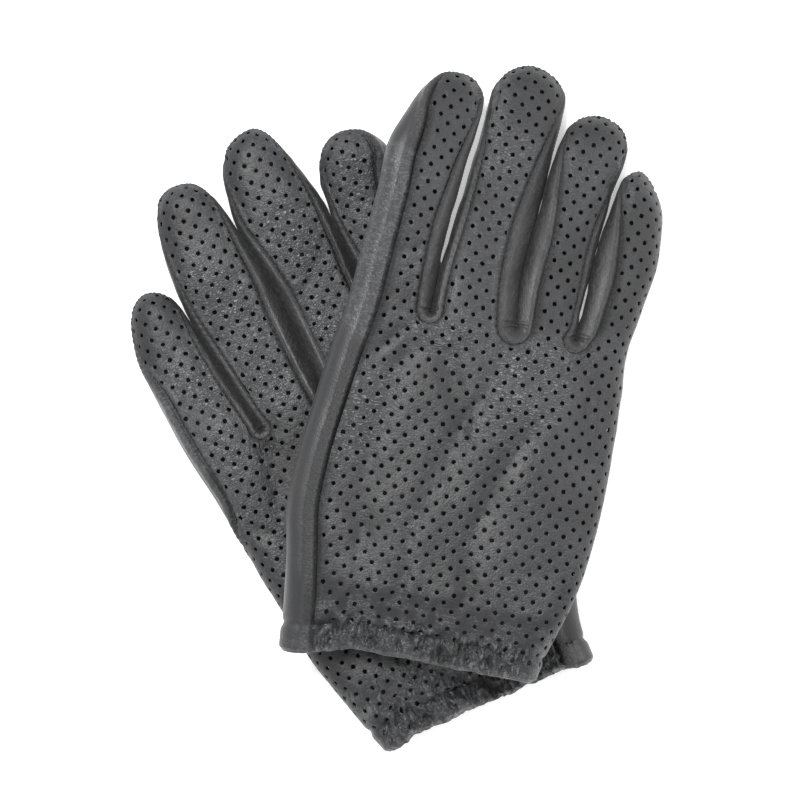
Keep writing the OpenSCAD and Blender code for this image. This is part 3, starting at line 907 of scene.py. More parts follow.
def thicken(points, normals, tris, thickness, open_edges):
    """Adds the leather's inner face, and its cut edge along the open edges."""
    n = len(points)
    inner = points - normals * thickness
    walls = []
    for a, b in open_edges:
        walls += [(a, n + a, n + b), (a, n + b, b)]
    faces = np.concatenate([tris, tris[:, ::-1] + n] + ([np.array(walls)] if walls else []))
    slots = np.concatenate([np.zeros(len(tris)), np.ones(len(tris)), np.full(len(walls), 2)])
    return np.concatenate([points, inner]), faces, slots


def both_faces(normals):
    return np.concatenate([normals, -normals])


def border(tris):
    """The directed edges that only one triangle uses."""
    edges = np.concatenate([tris[:, [0, 1]], tris[:, [1, 2]], tris[:, [2, 0]]])
    key = edges[:, 0] * 10_000_000 + edges[:, 1]
    other = edges[:, 1] * 10_000_000 + edges[:, 0]
    return edges[~np.isin(key, other)]


# ---------------------------------------------------------------- materials
class Net:
    """A material's nodes, with short ways to add one and feed it numbers or other nodes' outputs."""

    def __init__(self, name):
        self.material = bpy.data.materials.new(name)
        self.material.use_nodes = True
        self.nodes, self.links = self.material.node_tree.nodes, self.material.node_tree.links
        self.shader = self.nodes["Principled BSDF"]

    def feed(self, node, inputs):
        for key, value in inputs.items():
            if isinstance(value, bpy.types.NodeSocket):
                self.links.new(value, node.inputs[key])
            else:
                node.inputs[key].default_value = value

    def add(self, kind, inputs):
        node = self.nodes.new("ShaderNode" + kind)
        self.feed(node, inputs)
        return node

    def attribute(self, name):
        node = self.nodes.new("ShaderNodeAttribute")
        node.attribute_name = name
        return node.outputs["Fac"]

    def noise(self, where, scale, detail, roughness=0.5, distortion=0.0, output="Fac"):
        node = self.add("TexNoise", {"Vector": where, "Scale": scale, "Detail": detail,
                                     "Roughness": roughness, "Distortion": distortion})
        return node.outputs[output]

    def cells(self, feature, where, inputs):
        node = self.nodes.new("ShaderNodeTexVoronoi")
        node.feature = feature
        self.feed(node, {"Vector": where, **inputs})
        return node.outputs["Distance"]

    def calc(self, kind, a, b=0.0, clamp=False):
        node = self.add("Math", {0: a, 1: b})
        node.operation = kind
        node.use_clamp = clamp
        return node.outputs[0]

    def times(self, a, b, clamp=False):
        return self.calc("MULTIPLY", a, b, clamp)

    def plus(self, a, b, clamp=False):
        return self.calc("ADD", a, b, clamp)

    def minus(self, a, b, clamp=False):
        return self.calc("SUBTRACT", a, b, clamp)

    def remap(self, value, low, high, to_low, to_high):
        """Soft step from to_low at low to to_high at high."""
        node = self.nodes.new("ShaderNodeMapRange")
        node.interpolation_type = "SMOOTHSTEP"
        self.feed(node, {"Value": value, "From Min": low, "From Max": high,
                         "To Min": to_low, "To Max": to_high})
        return node.outputs["Result"]

    def ramp(self, value, low, high):
        """From one colour to the other, each given with its place."""
        node = self.add("ValToRGB", {"Fac": value})
        for element, (position, colour) in zip(node.color_ramp.elements, (low, high)):
            element.position = position
            element.color = colour
        return node.outputs["Color"]

    def mix(self, amount, below, above):
        node = self.nodes.new("ShaderNodeMix")
        node.data_type = "RGBA"
        self.feed(node, {0: amount, 6: below, 7: above})
        return node.outputs[2]

    def bump(self, height, strength, distance):
        node = self.add("Bump", {"Height": height, "Strength": strength, "Distance": distance})
        self.feed(self.shader, {"Normal": node.outputs["Normal"]})


def tint(colour, factor, more=0.0):
    return (*[c * factor + more for c in colour], 1)


def creases(net, where, scale, distortion, width):
    """0 in winding creases and 1 on the crests between them."""
    winding = net.noise(where, scale, 1.5, distortion=distortion)
    return net.remap(net.calc("ABSOLUTE", net.minus(winding, 0.5)), 0.0, width, 0.0, 1.0)


def crumple(net, where):
    """Cells longer towards the fingers than across, with jagged borders. Their edge distance, in UV units."""
    shift = net.nodes.new("ShaderNodeVectorMath")
    shift.operation = "MULTIPLY_ADD"
    net.feed(shift, {0: net.noise(where, 7.0, 3.0, output="Color"), 1: (0.22, 0.3, 0.0), 2: where})
    tall = net.add("Mapping", {"Vector": shift.outputs["Vector"], "Scale": (1.0, 0.5, 1.0)})
    return net.cells("DISTANCE_TO_EDGE", tall.outputs["Vector"], {"Scale": 5.5})


def leather(name, colour, rough, grain=1.0, flesh=False):
    """Leather that is paler where it is worn, with painted highlights on its crests and on its crumple's
    raised cells, painted shade in the pits and groove along its seams and in the crumple's cracks, and
    crumpled by its pucker.
    """
    net = Net(name)
    uv = net.nodes.new("ShaderNodeUVMap")
    uv.uv_map = "leather"
    where = uv.outputs["UV"]
    wear_and_highlight, seam_shade, pucker = (net.attribute(key) for key in ("wear_and_highlight", "seam_shade", "pucker"))
    # Creases that run across the fingers
    stretched = net.add("Mapping", {"Vector": where, "Scale": (0.5, 1.0, 1.0)}).outputs["Vector"]
    crests = net.times(creases(net, stretched, 6.5, 0.6, 0.14), creases(net, stretched, 12.0, 0.3, 0.1))
    edge_distance = crumple(net, where)
    crack = net.remap(edge_distance, 0.0, 0.17, 1.0, 0.0)
    raised = net.remap(edge_distance, 0.0, 0.34, 0.0, 1.0)

    # Plain leather in faint patches
    patches = net.noise(where, 0.55, 3.0)
    fine = net.noise(where, 9.0, 4.0, 0.6)
    mottle = net.plus(net.times(patches, 0.8), net.times(fine, 0.2))
    plain = net.ramp(mottle, (0.3, tint(colour, 0.86)), (0.72, tint(colour, 1.14)))
    # Painted shade: the plain colour gives way to a dark one in the pits along the seams, in the crumple's
    # cracks, and in the seam's own groove
    pits = net.remap(net.noise(where, 17.0, 2.0, 0.6), 0.36, 0.5, 0.0, 1.0)
    shown = net.minus(1.0, net.times(seam_shade, net.minus(1.0, pits)))
    shown = net.minus(shown, net.times(net.times(pucker, crack), 0.9), True)
    shown = net.minus(shown, net.remap(seam_shade, 1.0, 1.6, 0.0, 0.9), True)
    pit_shaded = net.mix(shown, tint(colour, 0.15), plain)
    # Crests are painted pale: partly rubbed wear, partly a painted highlight
    rubbed_and_highlighted = net.times(wear_and_highlight, net.plus(net.times(crests, 1.1), 0.2), True)
    # The crumple's raised cells get a painted highlight too
    rubbed_and_highlighted = net.plus(rubbed_and_highlighted, net.times(net.times(pucker, net.times(raised, raised)), 0.45), True)
    net.feed(net.shader, {"Base Color": net.mix(rubbed_and_highlighted, pit_shaded, tint(colour, 5.0, 0.075))})

    pebbles = net.cells("SMOOTH_F1", where, {"Scale": 15.0, "Smoothness": 0.55})
    height = net.times(crests, net.plus(net.times(net.times(wear_and_highlight, wear_and_highlight), 2.6), 0.09))
    height = net.minus(height, net.times(pebbles, 0.3))
    height = net.plus(height, net.times(net.noise(where, 40.0, 2.0), 0.12))
    height = net.plus(height, net.times(net.times(pucker, raised), 3.6))
    seam_grain = net.times(net.calc("MINIMUM", seam_shade, 1.0), 5.0)
    height = net.plus(height, net.times(net.noise(where, 13.0, 3.0, 0.65), seam_grain))
    net.bump(height, 0.75 * grain, 0.0005)
    dull = net.remap(patches, 0.3, 0.7, rough + 0.05, rough - 0.05)
    net.feed(net.shader, {
        "Roughness": net.minus(dull, net.times(wear_and_highlight, 0.13)),
        "Specular IOR Level": 0.18 if flesh else 0.5,
        "Sheen Weight": 0.25 if flesh else 0.06,
        "Sheen Roughness": 0.45,
    })
    return net.material


def woven(name, colour, scale):
    """Thread or elastic, with bands across it."""
    net = Net(name)
    where = net.nodes.new("ShaderNodeTexCoord").outputs["Object"]
    wave = net.add("TexWave", {"Vector": where, "Scale": scale, "Distortion": 1.5}).outputs["Fac"]
    bands = net.ramp(wave, (0.0, tint(colour, 0.6)), (1.0, tint(colour, 1.5)))
    net.feed(net.shader, {"Base Color": bands, "Roughness": 0.7})
    net.bump(wave, 0.6, 0.0001)
    return net.material


def paper():
    """The floor's white paper. It gives off a little light, as the photo's background has no shadows."""
    net = Net("white_paper")
    grain = net.add("TexNoise", {"Scale": 400.0}).outputs["Fac"]
    white = net.ramp(grain, (0.0, tint((0.93,) * 3, 1.0)), (1.0, tint((0.97,) * 3, 1.0)))
    net.feed(net.shader, {"Base Color": white, "Roughness": 0.9, "Specular IOR Level": 0.1,
                          "Emission Color": (1.0, 1.0, 1.0, 1.0), "Emission Strength": 0.35})
    return net.material


BACK = leather("perforated_leather", (0.0080, 0.0083, 0.0096), 0.5)
SMOOTH = leather("smooth_leather", (0.0150, 0.0153, 0.0167), 0.46, 0.5)
# The fourchettes get a darker copy of the smooth leather: painted shade for the narrow slits between the
# fingers
SHADED_FORK = leather("fourchette_leather_painted_shade", (0.0065, 0.0066, 0.0072), 0.5, 0.6)
FLESH = leather("leather_flesh_side", (0.030, 0.030, 0.032), 0.85, 1.4, flesh=True)
CUT = leather("leather_cut_edge", (0.022, 0.022, 0.024), 0.8, 1.0, flesh=True)
THREAD = woven("sewing_thread", (0.012, 0.012, 0.014), 900.0)
ELASTIC = woven("woven_elastic", (0.02, 0.02, 0.021), 500.0)


def whose(g, i):
    return SIDE[g] if i == WHOLE_HAND else f"{SIDE[g]}_{FINGER_NAMES[g][i]}"


def fix(obj, body, node):
    """The piece rides on a body and stands for a node of the CAD, which it hides."""
    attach(obj, body)
    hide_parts(node)


def place(g, obj, i, node):
    """The piece rides on its hand when it has no body of its own; else it only stays in place, with no
    parent. Either way its CAD node is hidden.
    """
    hand, body = f"{SIDE[g]}_hand", whose(g, i)
    if body not in frame["bodies"]:
        fix(obj, hand, node)
        return
    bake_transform(obj)
    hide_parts(node)


# ---------------------------------------------------------------- backs and palms
# For palms and backs: spacing of points along the edge and inside it, and rows of points beside the seam
EDGE_STEP = {1: 0.8, -1: 1.0}
MESH_SPACING = {1: 1.3, -1: 2.4}
SEAM_ROWS = {1: (0.45, 0.95, 1.5, 2.2, 3.0, 4.0), -1: (0.5, 1.1, 1.8, 2.6, 3.6)}
CUFF_SPACING, CUFF_FINE_FROM, WRAP_SPACING = 0.75, -97, 1.0
INDEX_FINGER = (3, 0)
KNUCKLE_TOLERANCE = 1e-6


def pattern(g, up):
    """A back's or palm's flat pattern: closed loops of its fingers and its hand, and its sewn edge."""
    edge = seam_line(g, up)
    cut = crossings(edge, -HAND_LENGTH)
    first, last = cut[0], cut[-1]
    edge = np.concatenate([cross_point(edge, first, -HAND_LENGTH)[None], edge[first + 1:last + 1],
                           cross_point(edge, last, -HAND_LENGTH)[None]])
    cut = crossings(edge, 0.0)
    if len(cut) != 8:
        raise ValueError(f"{SIDE[g]} panel {up} crosses the knuckle line {len(cut)} times")
    spots = [cross_point(edge, k, 0.0) for k in cut]
    step = EDGE_STEP[up]
    lines = [resample(np.array([spots[2 * i], spots[2 * i + 1]]), step) for i in range(4)]
    loops = []
    for i in range(4):
        round_finger = edge[cut[2 * i] + 1:cut[2 * i + 1] + 1]
        side = resample(np.concatenate([spots[2 * i][None], round_finger, spots[2 * i + 1][None]]), step)
        loops.append(np.concatenate([side[:-1], lines[i][::-1][:-1]]))
    hand = [resample(np.concatenate([edge[:cut[0] + 1], spots[0][None]]), step)[:-1]]
    for i in range(4):
        hand.append(lines[i][:-1])
        stop = cut[2 * i + 2] + 1 if i < 3 else len(edge)
        tail = [spots[2 * i + 2][None]] if i < 3 else []
        bend = np.concatenate([spots[2 * i + 1][None], edge[cut[2 * i + 1] + 1:stop]] + tail)
        hand.append(resample(bend, step)[:-1])
    hand.append(resample(np.array([edge[-1], edge[0]]), step)[:-1])
    loops.append(np.concatenate(hand))
    return loops, Line(edge, {}, 0.3, 0.0)


def seam_groove_shade(distance):
    """Painted shade: above 1 it makes a dark line in the seam's groove itself."""
    return 1.7 * bell(distance, 0.5)


def back_finish(g, u, v, distance, along, holes):
    """Wear with its painted highlight, relief, painted seam shade and pucker of points on a back."""
    wear_and_highlight = wear_and_highlight_at(g, u, v)
    relief = back_relief(g, u, v, wear_and_highlight)
    if len(holes):
        rim = distances(tree_of(holes), np.stack([u, v], 1))
        relief = relief - 0.16 * bell(rim - HOLE_RADIUS, 0.22)
    relief = relief + seam_relief(distance, along, 60 + g)
    # Painted shade in the pits beside the seam and in its groove
    seam_shade = 0.6 * bell(distance - 1.2, 1.0) + seam_groove_shade(distance)
    # The cuff's crinkles count as worn, which also paints highlights on them
    wear_and_highlight = np.maximum(wear_and_highlight, 0.5 * cuffward(v, -98, 8) * smooth(0.5 + noise(u, v, 3.5, 59)))
    return wear_and_highlight, relief, seam_shade, pucker_at(g, u, v)


def palm_finish(g, u, v, distance, along, depth):
    """Wear with its painted highlight, relief, painted seam shade and pucker of points on a palm, whose
    wrapped-up strip is rough by its seam and painted dark in its pits there.
    """
    wear_and_highlight = 0.25 * smooth(noise(u, v, 24, 71) * 2)
    strip = smooth((-4 - depth) / 5)
    # Painted shade in the pits of the strip's rough band and in the seam's groove
    seam_shade = strip * between(distance, 0.4, 0.5, ROUGH_REACH, 1.0) + seam_groove_shade(distance)
    rough_seam = seam_relief(distance, along, 62 + g, 0.1, 0.2)
    plain_seam = seam_relief(distance, along, 64 + g, 0.2)
    relief = palm_relief(g, u, v, depth) + rough_seam * strip + plain_seam * (1 - strip)
    return wear_and_highlight, relief, seam_shade, np.zeros(len(u))


def finer_part(g, i, up):
    """Where a loop's mesh is finer: at the back's cuff, and where the palm wraps up along the index side."""
    if up > 0:
        return (CUFF_SPACING, lambda q: q[:, 1] < CUFF_FINE_FROM) if i == WHOLE_HAND else None
    own = OWN[g][i]
    return (WRAP_SPACING, lambda q: own.nearest(q)[1] < 0.5) if i in (WHOLE_HAND, INDEX_FINGER[g]) else None


def panel(g, up):
    """The back or the palm of a glove, cut from one flat pattern, as a hand piece and four finger pieces."""
    loops, edge = pattern(g, up)
    holes = hole_centres(g, loops, edge) if up > 0 else np.zeros((0, 2))
    flats, laid, finishes, tris, pieces = [], [], [], [], []
    count = 0
    for i, loop in enumerate(loops):
        mine = holes[inside(holes, loop)]
        flat, faces = flat_mesh(loop, edge.tree, MESH_SPACING[up], SEAM_ROWS[up], mine, finer_part(g, i, up))
        points, depth = lay(g, i, flat, up)
        index, distance, _ = edge.nearest(flat)
        where = (*flat.T, np.abs(distance), index * edge.step)
        finishes.append(back_finish(g, *where, mine) if up > 0 else palm_finish(g, *where, depth))
        flats.append(flat)
        laid.append(points)
        tris.append(faces + count)
        pieces.append(np.full(len(faces), i))
        count += len(flat)
    flat, points, tri, piece = (np.concatenate(x) for x in (flats, laid, tris, pieces))
    wear_and_highlight, relief, seam_shade, pucker = (np.concatenate(x) for x in zip(*finishes))
    if up < 0:
        tri = tri[:, ::-1]
    # Points of the knuckle line belong to a finger and to the hand
    weld = np.arange(len(flat))
    seen = {}
    for n in np.nonzero(np.abs(flat[:, 1]) < KNUCKLE_TOLERANCE)[0]:
        weld[n] = seen.setdefault(round(float(flat[n, 0]) * 1000), n)
    points = points + normals_of(points, tri, weld) * relief[weld][:, None]
    normals = turned(g, normals_of(points, tri, weld))
    row = to_row(g, points)
    for i in range(5):
        used, number = compact(tri[piece == i], len(flat))
        mine = number[tri[piece == i]]
        edges = border(mine)
        at_line = np.abs(flat[used][:, 1]) < KNUCKLE_TOLERANCE
        edges = edges[~(at_line[edges[:, 0]] & at_line[edges[:, 1]])]
        verts, faces, slots = thicken(row[used], normals[used], mine, LEATHER / 1000, edges)
        node = f"{whose(g, i)}_{'back' if up > 0 else 'palm'}"
        outside = BACK if up > 0 else SMOOTH
        flat_place = np.tile(flat[used], (2, 1))
        worn_and_highlighted, seam_shaded, puckered = (np.tile(x[used], 2) for x in (wear_and_highlight, seam_shade, pucker))
        obj = make_object(node + "_leather", verts, faces, both_faces(normals[used]), flat_place, worn_and_highlighted,
                          [outside, FLESH, CUT], slots, seam_shaded, puckered)
        place(g, obj, i, node)


for g in (LEFT, RIGHT):
    panel(g, 1)
    panel(g, -1)


# ---------------------------------------------------------------- fourchettes
# Along each slit: places up the fingers, and how far its strips swell into it there
SLIT_SWELL = (
    (((0, 40, 52), (0.75, 0.7, 0)), ((0, 40, 52), (0.7, 0.6, 0)), ((0, 30, 44), (0.4, 0.4, 0))),
    (((0, 18, 25), (0.55, 0.55, 0)), ((0, 30, 50, 66), (0.75, 0.62, 0.5, 0)),
     ((0, 6, 9, 17, 23, 40, 52), (0.6, 0.6, 0.15, 0.15, 0.95, 0.9, 0))),
)
STRIP_COLUMNS = 17
# Steps along the outline's points from row to row, short within a reach of the bottom of the slit
STRIP_STEP, BEND_STEP, BEND_REACH = 6, 1, 22


def strip_relief(g, j, along, arc, edge, above_low, foot_v, share):
    """How far a strip stands off its plain form.

    Its points are given by their place along it and across it (arc, or share), their distance from its
    nearer seam, and the v of the outline beside them, also as counted from the bottom of the slit.
    """
    stitches = np.sin(2 * math.pi * along / STITCH_PITCH)
    relief = -1.2 * bell(edge, GROOVE_WIDTH) + 0.12 * stitches * bell(edge - 0.8, 0.9)
    relief += 0.22 * noise(along, arc, 9, 81 + j) + 0.1 * noise(along, arc, 3.5, 83 + j)
    # Small folds fan out from the bottom of the slit
    bend = bell(above_low, 4.5)[:, None] * np.sin(np.pi * np.clip(share * 1.5, 0, 1)) ** 0.7
    fan = along[:, :1] + 0 * arc
    relief += 0.26 * bend * np.sin(2 * math.pi * fan / 2.7 + 1.5 * noise(fan, arc, 5, 85))
    # Where the fingers lie close, the two strips press together
    reach, swell = SLIT_SWELL[g][j]
    return relief + np.interp(foot_v, reach, swell)[:, None] * bell(arc, 4)


def strip(g, j):
    """The strip in slit j.

    Returns its points, normals, triangles, border edges, flat places with painted seam shade, and each
    triangle's piece.
    """
    line = OUTLINES[g]
    low = line.cuts[j + 1]
    at, stop = slit_ends(g, j)
    index = []
    while at < stop:
        index.append(at)
        at += BEND_STEP if abs(at - low) < BEND_REACH else STRIP_STEP
    index = np.array(index)
    rows, low_row = len(index), np.searchsorted(index, low)
    share = np.linspace(0, 1, STRIP_COLUMNS)
    top = line.extra["seam"][index][:, None]
    arc = top * (1 - share) - PALM_SEAM * top * share
    inset, angle = rolled(arc)
    flat = line.p[index][:, None] + line.n[index][:, None] * inset[:, :, None]
    u, v = flat[..., 0], flat[..., 1]
    foot_v = line.p[index][:, 1]
    on_left = (index < low)[:, None]
    up_finger = np.maximum(v, 0)
    half = np.where(on_left, half_thickness(g, j, up_finger), half_thickness(g, j + 1, up_finger))
    sag = np.where(on_left, finger_sag(g, j, up_finger), finger_sag(g, j + 1, up_finger))
    z = drape(g, u, v) - sag + half * np.sin(angle)
    steps = np.linalg.norm(np.diff(flat, axis=0), axis=2)
    along = np.concatenate([np.zeros((1, STRIP_COLUMNS)), np.cumsum(steps, axis=0)])
    along -= along[low_row]
    edge = np.minimum(np.abs(top - arc), np.abs(arc + PALM_SEAM * top))
    relief = strip_relief(g, j, along, arc, edge, foot_v - foot_v[low_row], foot_v, share)
    points = np.stack([u, v - dip(g, u, v), z], -1).reshape(-1, 3)
    tris = grid_tris(rows, STRIP_COLUMNS)
    normals = normals_of(points, tris)
    middle = normals.reshape(rows, STRIP_COLUMNS, 3)[:, STRIP_COLUMNS // 2, :2]
    if (middle * line.n[index]).sum() > 0:
        tris = tris[:, ::-1]
        normals = -normals
    points = points + normals * relief.reshape(-1, 1)
    row_of = tris // STRIP_COLUMNS
    piece = np.where(foot_v[row_of].mean(1) < 0, WHOLE_HAND, np.where(row_of.mean(1) < low_row, j, j + 1))
    # The third column is painted shade in the seam's groove
    place_and_seam_shade = np.stack([along, arc, seam_groove_shade(edge)], -1).reshape(-1, 3)
    return points, normals_of(points, tris), tris, border(tris), place_and_seam_shade, piece


def fourchettes(g):
    """Between two fingers one strip of smooth leather runs down a finger, round the bend and up the next."""
    sets = {}
    for j in range(3):
        *parts, piece = strip(g, j)
        for i in np.unique(piece):
            sets.setdefault(int(i), []).append((*parts, piece == i))
    for i, parts in sets.items():
        solids = []
        count = 0
        for points, normals, tris, outer_edges, place_and_seam_shade, mine in parts:
            used, number = compact(tris[mine], len(points))
            edges = number[outer_edges]
            edges = edges[(edges >= 0).all(1)]
            normals = turned(g, normals[used])
            row = to_row(g, points[used])
            solid, faces, slots = thicken(row, normals, number[tris[mine]], LEATHER / 1000, edges)
            flat = np.tile(place_and_seam_shade[used], (2, 1))
            solids.append((solid, faces + count, both_faces(normals), flat, slots))
            count += len(solid)
        verts, faces, normals, flat, slots = (np.concatenate(x) for x in zip(*solids))
        plural = "s" if len(parts) > 1 else ""
        node = f"{SIDE[g]}_fourchette_bends" if i == WHOLE_HAND else f"{whose(g, i)}_fourchette{plural}"
        obj = make_object(node + "_leather", verts, faces, normals, flat[:, :2], np.full(len(flat), 0.15),
                          [SHADED_FORK, FLESH, CUT], slots, flat[:, 2])
        place(g, obj, i, node)


for g in (LEFT, RIGHT):
    fourchettes(g)


# ---------------------------------------------------------------- the cuff
RING_COUNT = 260
# The hem's cross-section as (v, inset): its fold at the edge, its inner face, and back along the leather
HEM_SECTION = (
    [(-119.6, 0.75), (-120.05, 0.95), (-120.3, 1.3), (-120.2, 1.7), (-119.7, 1.95)]
    + [(v, 1.95) for v in (-118.5, -117, -115, -113, -111.4)]
    + [(v, 1.2) for v in (-111.2, -113, -115, -117, -118.6)]
)
HEM_STITCH, HEM_THREAD = 1.4, 0.25
HEM_STITCHES_END = {1: 3, -1: 4}
ELASTIC_HALF, ELASTIC_FROM, ELASTIC_TO = 27, -118, -112.5
ELASTIC_INSET, ELASTIC_THICK = 2.15, 0.7


def ring_points(g, v, inset):
    """Points round the cuff's cross-section at v, set in from its surface, starting at the left edge."""
    rows = HAND_ROWS[g]
    left = np.interp(v, [r[0] for r in rows], [r[1] for r in rows]) + inset
    right = np.interp(v, [r[0] for r in rows], [r[2] for r in rows]) - inset
    radius, half = EDGE_ROUND - inset, HAND_HALF - inset
    straight = right - left - 2 * radius
    bend = math.pi * radius
    s = np.arange(RING_COUNT) / RING_COUNT * (2 * straight + 2 * bend)
    u, h = np.zeros(RING_COUNT), np.zeros(RING_COUNT)
    starts = np.cumsum([0, bend / 2, straight, bend, straight])
    for k, start in enumerate(starts):
        mine = s >= start
        t = s[mine] - start
        if k == 0:
            u[mine], h[mine] = left + radius * (1 - np.cos(t / radius)), half * np.sin(t / radius)
        elif k == 1:
            u[mine], h[mine] = left + radius + t, half
        elif k == 2:
            a = math.pi / 2 - t / radius
            u[mine], h[mine] = right - radius * (1 - np.cos(a)), half * np.sin(a)
        elif k == 3:
            u[mine], h[mine] = right - radius - t, -half
        else:
            a = t / radius - math.pi / 2
            u[mine], h[mine] = left + radius * (1 - np.cos(a)), half * np.sin(a)
    return u, h, s


def lift_at(g, u, v):
    """How far the back leather of the cuff stands above the plain rounded form."""
    depth = np.minimum(u - u.min(), u.max() - u)
    return crown(g, v, depth, 1) + back_relief(g, u, v, 0 * u) - hem_relief(v)


def hem(g):
    """The turned-in hem, swept round the inside of the cuff."""
    points, uvs = [], []
    for v, inset in HEM_SECTION:
        u, h, s = ring_points(g, v, inset)
        v = np.full(RING_COUNT, float(v))
        z = drape(g, u, v) + h + smooth(h / 3) * lift_at(g, u, v)
        points.append(np.stack([u, v - dip(g, u, v), z], 1))
        uvs.append(np.stack([s, v * 1.3 + inset * 3], 1))
    points, uv = np.concatenate(points), np.concatenate(uvs)
    tris = grid_tris(len(HEM_SECTION), RING_COUNT, ring=True, tube=True)
    a, b, c = points[tris[:, 0]], points[tris[:, 1]], points[tris[:, 2]]
    if (np.cross(a, b) * c).sum() < 0:
        tris = tris[:, ::-1]
    obj = make_object(f"{SIDE[g]}_cuff_hem_leather", to_row(g, points), tris, None, uv,
                      np.full(len(uv), 0.3), [SMOOTH])
    fix(obj, f"{SIDE[g]}_hand", f"{SIDE[g]}_cuff_hem")


def finished(g, flat, up):
    """Points and normals of the hand's finished leather at a few flat points."""
    step = 0.4
    p, depth = lay(g, WHOLE_HAND, flat, up)
    pu, pv = (lay(g, WHOLE_HAND, flat + way, up)[0] for way in ((step, 0), (0, step)))
    normal = np.cross(pu - p, pv - p) * up
    normal /= np.linalg.norm(normal, axis=1)[:, None]
    u, v = flat.T
    relief = back_relief(g, u, v, wear_and_highlight_at(g, u, v)) if up > 0 else palm_relief(g, u, v, depth)
    return p + normal * relief[:, None], normal


# A stitch's thickness along it, as (place, share of its radius)
THREAD_PROFILE = ((0.0, 0.35), (0.12, 0.85), (0.3, 1.0), (0.7, 1.0), (0.88, 0.85), (1.0, 0.35))
THREAD_SIDES = 7


def tubes(starts, ends, radius):
    """Short rounded threads between pairs of points, which sink into the leather at their ends."""
    verts, faces, uv = [], [], []
    rings, sides = len(THREAD_PROFILE), THREAD_SIDES
    for a, b in zip(starts, ends):
        d = b - a
        length = np.linalg.norm(d)
        d = d / length
        x = np.cross(d, (0, 0, 1.0))
        x /= np.linalg.norm(x)
        y = np.cross(d, x)
        base = len(verts)
        for t, r in THREAD_PROFILE:
            sink = -radius * 0.9 * (2 * t - 1) ** 2
            for k in range(sides):
                w = 2 * math.pi * k / sides
                out = (x * math.cos(w) + y * math.sin(w)) * r * radius
                verts.append(a + d * length * t + out + (0, 0, sink))
                uv.append((t * length, k))
        for r in range(rings - 1):
            for k in range(sides):
                p, q = base + r * sides + k, base + r * sides + (k + 1) % sides
                faces.append((p, q, q + sides, p + sides))
        faces.append(tuple(base + k for k in range(sides))[::-1])
        faces.append(tuple(base + (rings - 1) * sides + k for k in range(sides)))
    return np.array(verts), faces, np.array(uv)


def hem_stitches(g):
    """The row of stitches that holds the hem, on the back and on the palm."""
    starts, ends = [], []
    for up in (1, -1):
        _, left, right = HAND_ROWS[g][0]
        us = np.arange(left + HEM_STITCHES_END[up], right - HEM_STITCHES_END[up], STITCH_PITCH)
        jitter = 0.12 * noise(us, us * 0, 2, 91)
        a = np.stack([us + 0.5, np.full(len(us), -HAND_LENGTH + HEM) + jitter], 1)
        b = a + (HEM_STITCH, 0.0) + np.stack([0 * us, 0.25 * noise(us, us * 0, 3, 92)], 1)
        for spots, flat in ((starts, a), (ends, b)):
            point, normal = finished(g, flat, up)
            spots.append(point + normal * 0.1)
    verts, faces, uv = tubes(np.concatenate(starts), np.concatenate(ends), HEM_THREAD)
    obj = make_object(f"{SIDE[g]}_hem_stitches", to_row(g, verts), faces, None, uv,
                      np.zeros(len(verts)), [THREAD])
    fix(obj, f"{SIDE[g]}_hand", f"{SIDE[g]}_hem_stitching")


def slab_faces(rows, columns):
    """Faces of a closed slab between two layers of a grid of points."""
    layer = rows * columns
    faces = []
    for r in range(rows - 1):
        for c in range(columns - 1):
            a = r * columns + c
            b = layer + a
            faces.append((a, a + 1, a + columns + 1, a + columns))
            faces.append((b, b + columns, b + columns + 1, b + 1))
    right, left = np.arange(1, rows) * columns + columns - 1, np.arange(rows - 2, 0, -1) * columns
    rim = [*range(columns), *right, *range(layer - 2, layer - columns - 1, -1), *left]
    for a, b in zip(rim, rim[1:] + rim[:1]):
        faces.append((b, a, layer + a, layer + b))
    return faces


def elastic(g):
    """The elastic behind the hem, which follows the gathered back."""
    us, vs = np.linspace(-ELASTIC_HALF, ELASTIC_HALF, 90), np.linspace(ELASTIC_FROM, ELASTIC_TO, 8)
    u, v = (x.ravel() for x in np.meshgrid(us, vs))
    points = []
    for inset in (ELASTIC_INSET, ELASTIC_INSET + ELASTIC_THICK):
        z = drape(g, u, v) + HAND_HALF - inset + back_relief(g, u, v, 0 * u) - hem_relief(v)
        points.append(np.stack([u, v - dip(g, u, v), z], 1))
    points, uv = np.concatenate(points), np.tile(np.stack([u, v], 1), (2, 1))
    faces = slab_faces(len(vs), len(us))
    obj = make_object(f"{SIDE[g]}_cuff_elastic_band", to_row(g, points), faces, None, uv,
                      np.zeros(len(uv)), [ELASTIC])
    fix(obj, f"{SIDE[g]}_hand", f"{SIDE[g]}_cuff_elastic")


for g in (LEFT, RIGHT):
    hem(g)
    hem_stitches(g)
    elastic(g)


# ---------------------------------------------------------------- thumbs
THUMB_COUNT = 120
THUMB_ROUND, THUMB_TOP_INSET = 4.2, 8.4
# Each half of the thumb is raised a little off its seam, and its leather is set in from the outside
THUMB_LIFT, THUMB_SET_IN = 0.25, 0.55


def thumb_ring(inset):
    """Outline of the flattened thumb, set in, as points round two arcs."""
    tilt = math.asin((THUMB_ROOT - THUMB_TIP) / THUMB_REACH)
    root, tip = max(THUMB_ROOT - inset, 0.3), max(THUMB_TIP - inset, 0.3)
    low = np.linspace(math.pi - tilt, 2 * math.pi + tilt, THUMB_COUNT // 2)
    high = np.linspace(tilt, math.pi - tilt, THUMB_COUNT // 2)
    a = np.stack([root * np.cos(low), root * np.sin(low)], 1)
    b = np.stack([tip * np.cos(high), THUMB_REACH + tip * np.sin(high)], 1)
    closed = np.concatenate([a, b, a[:1]])
    return resample(closed, lengths_along(closed)[-1] / THUMB_COUNT)[:THUMB_COUNT]


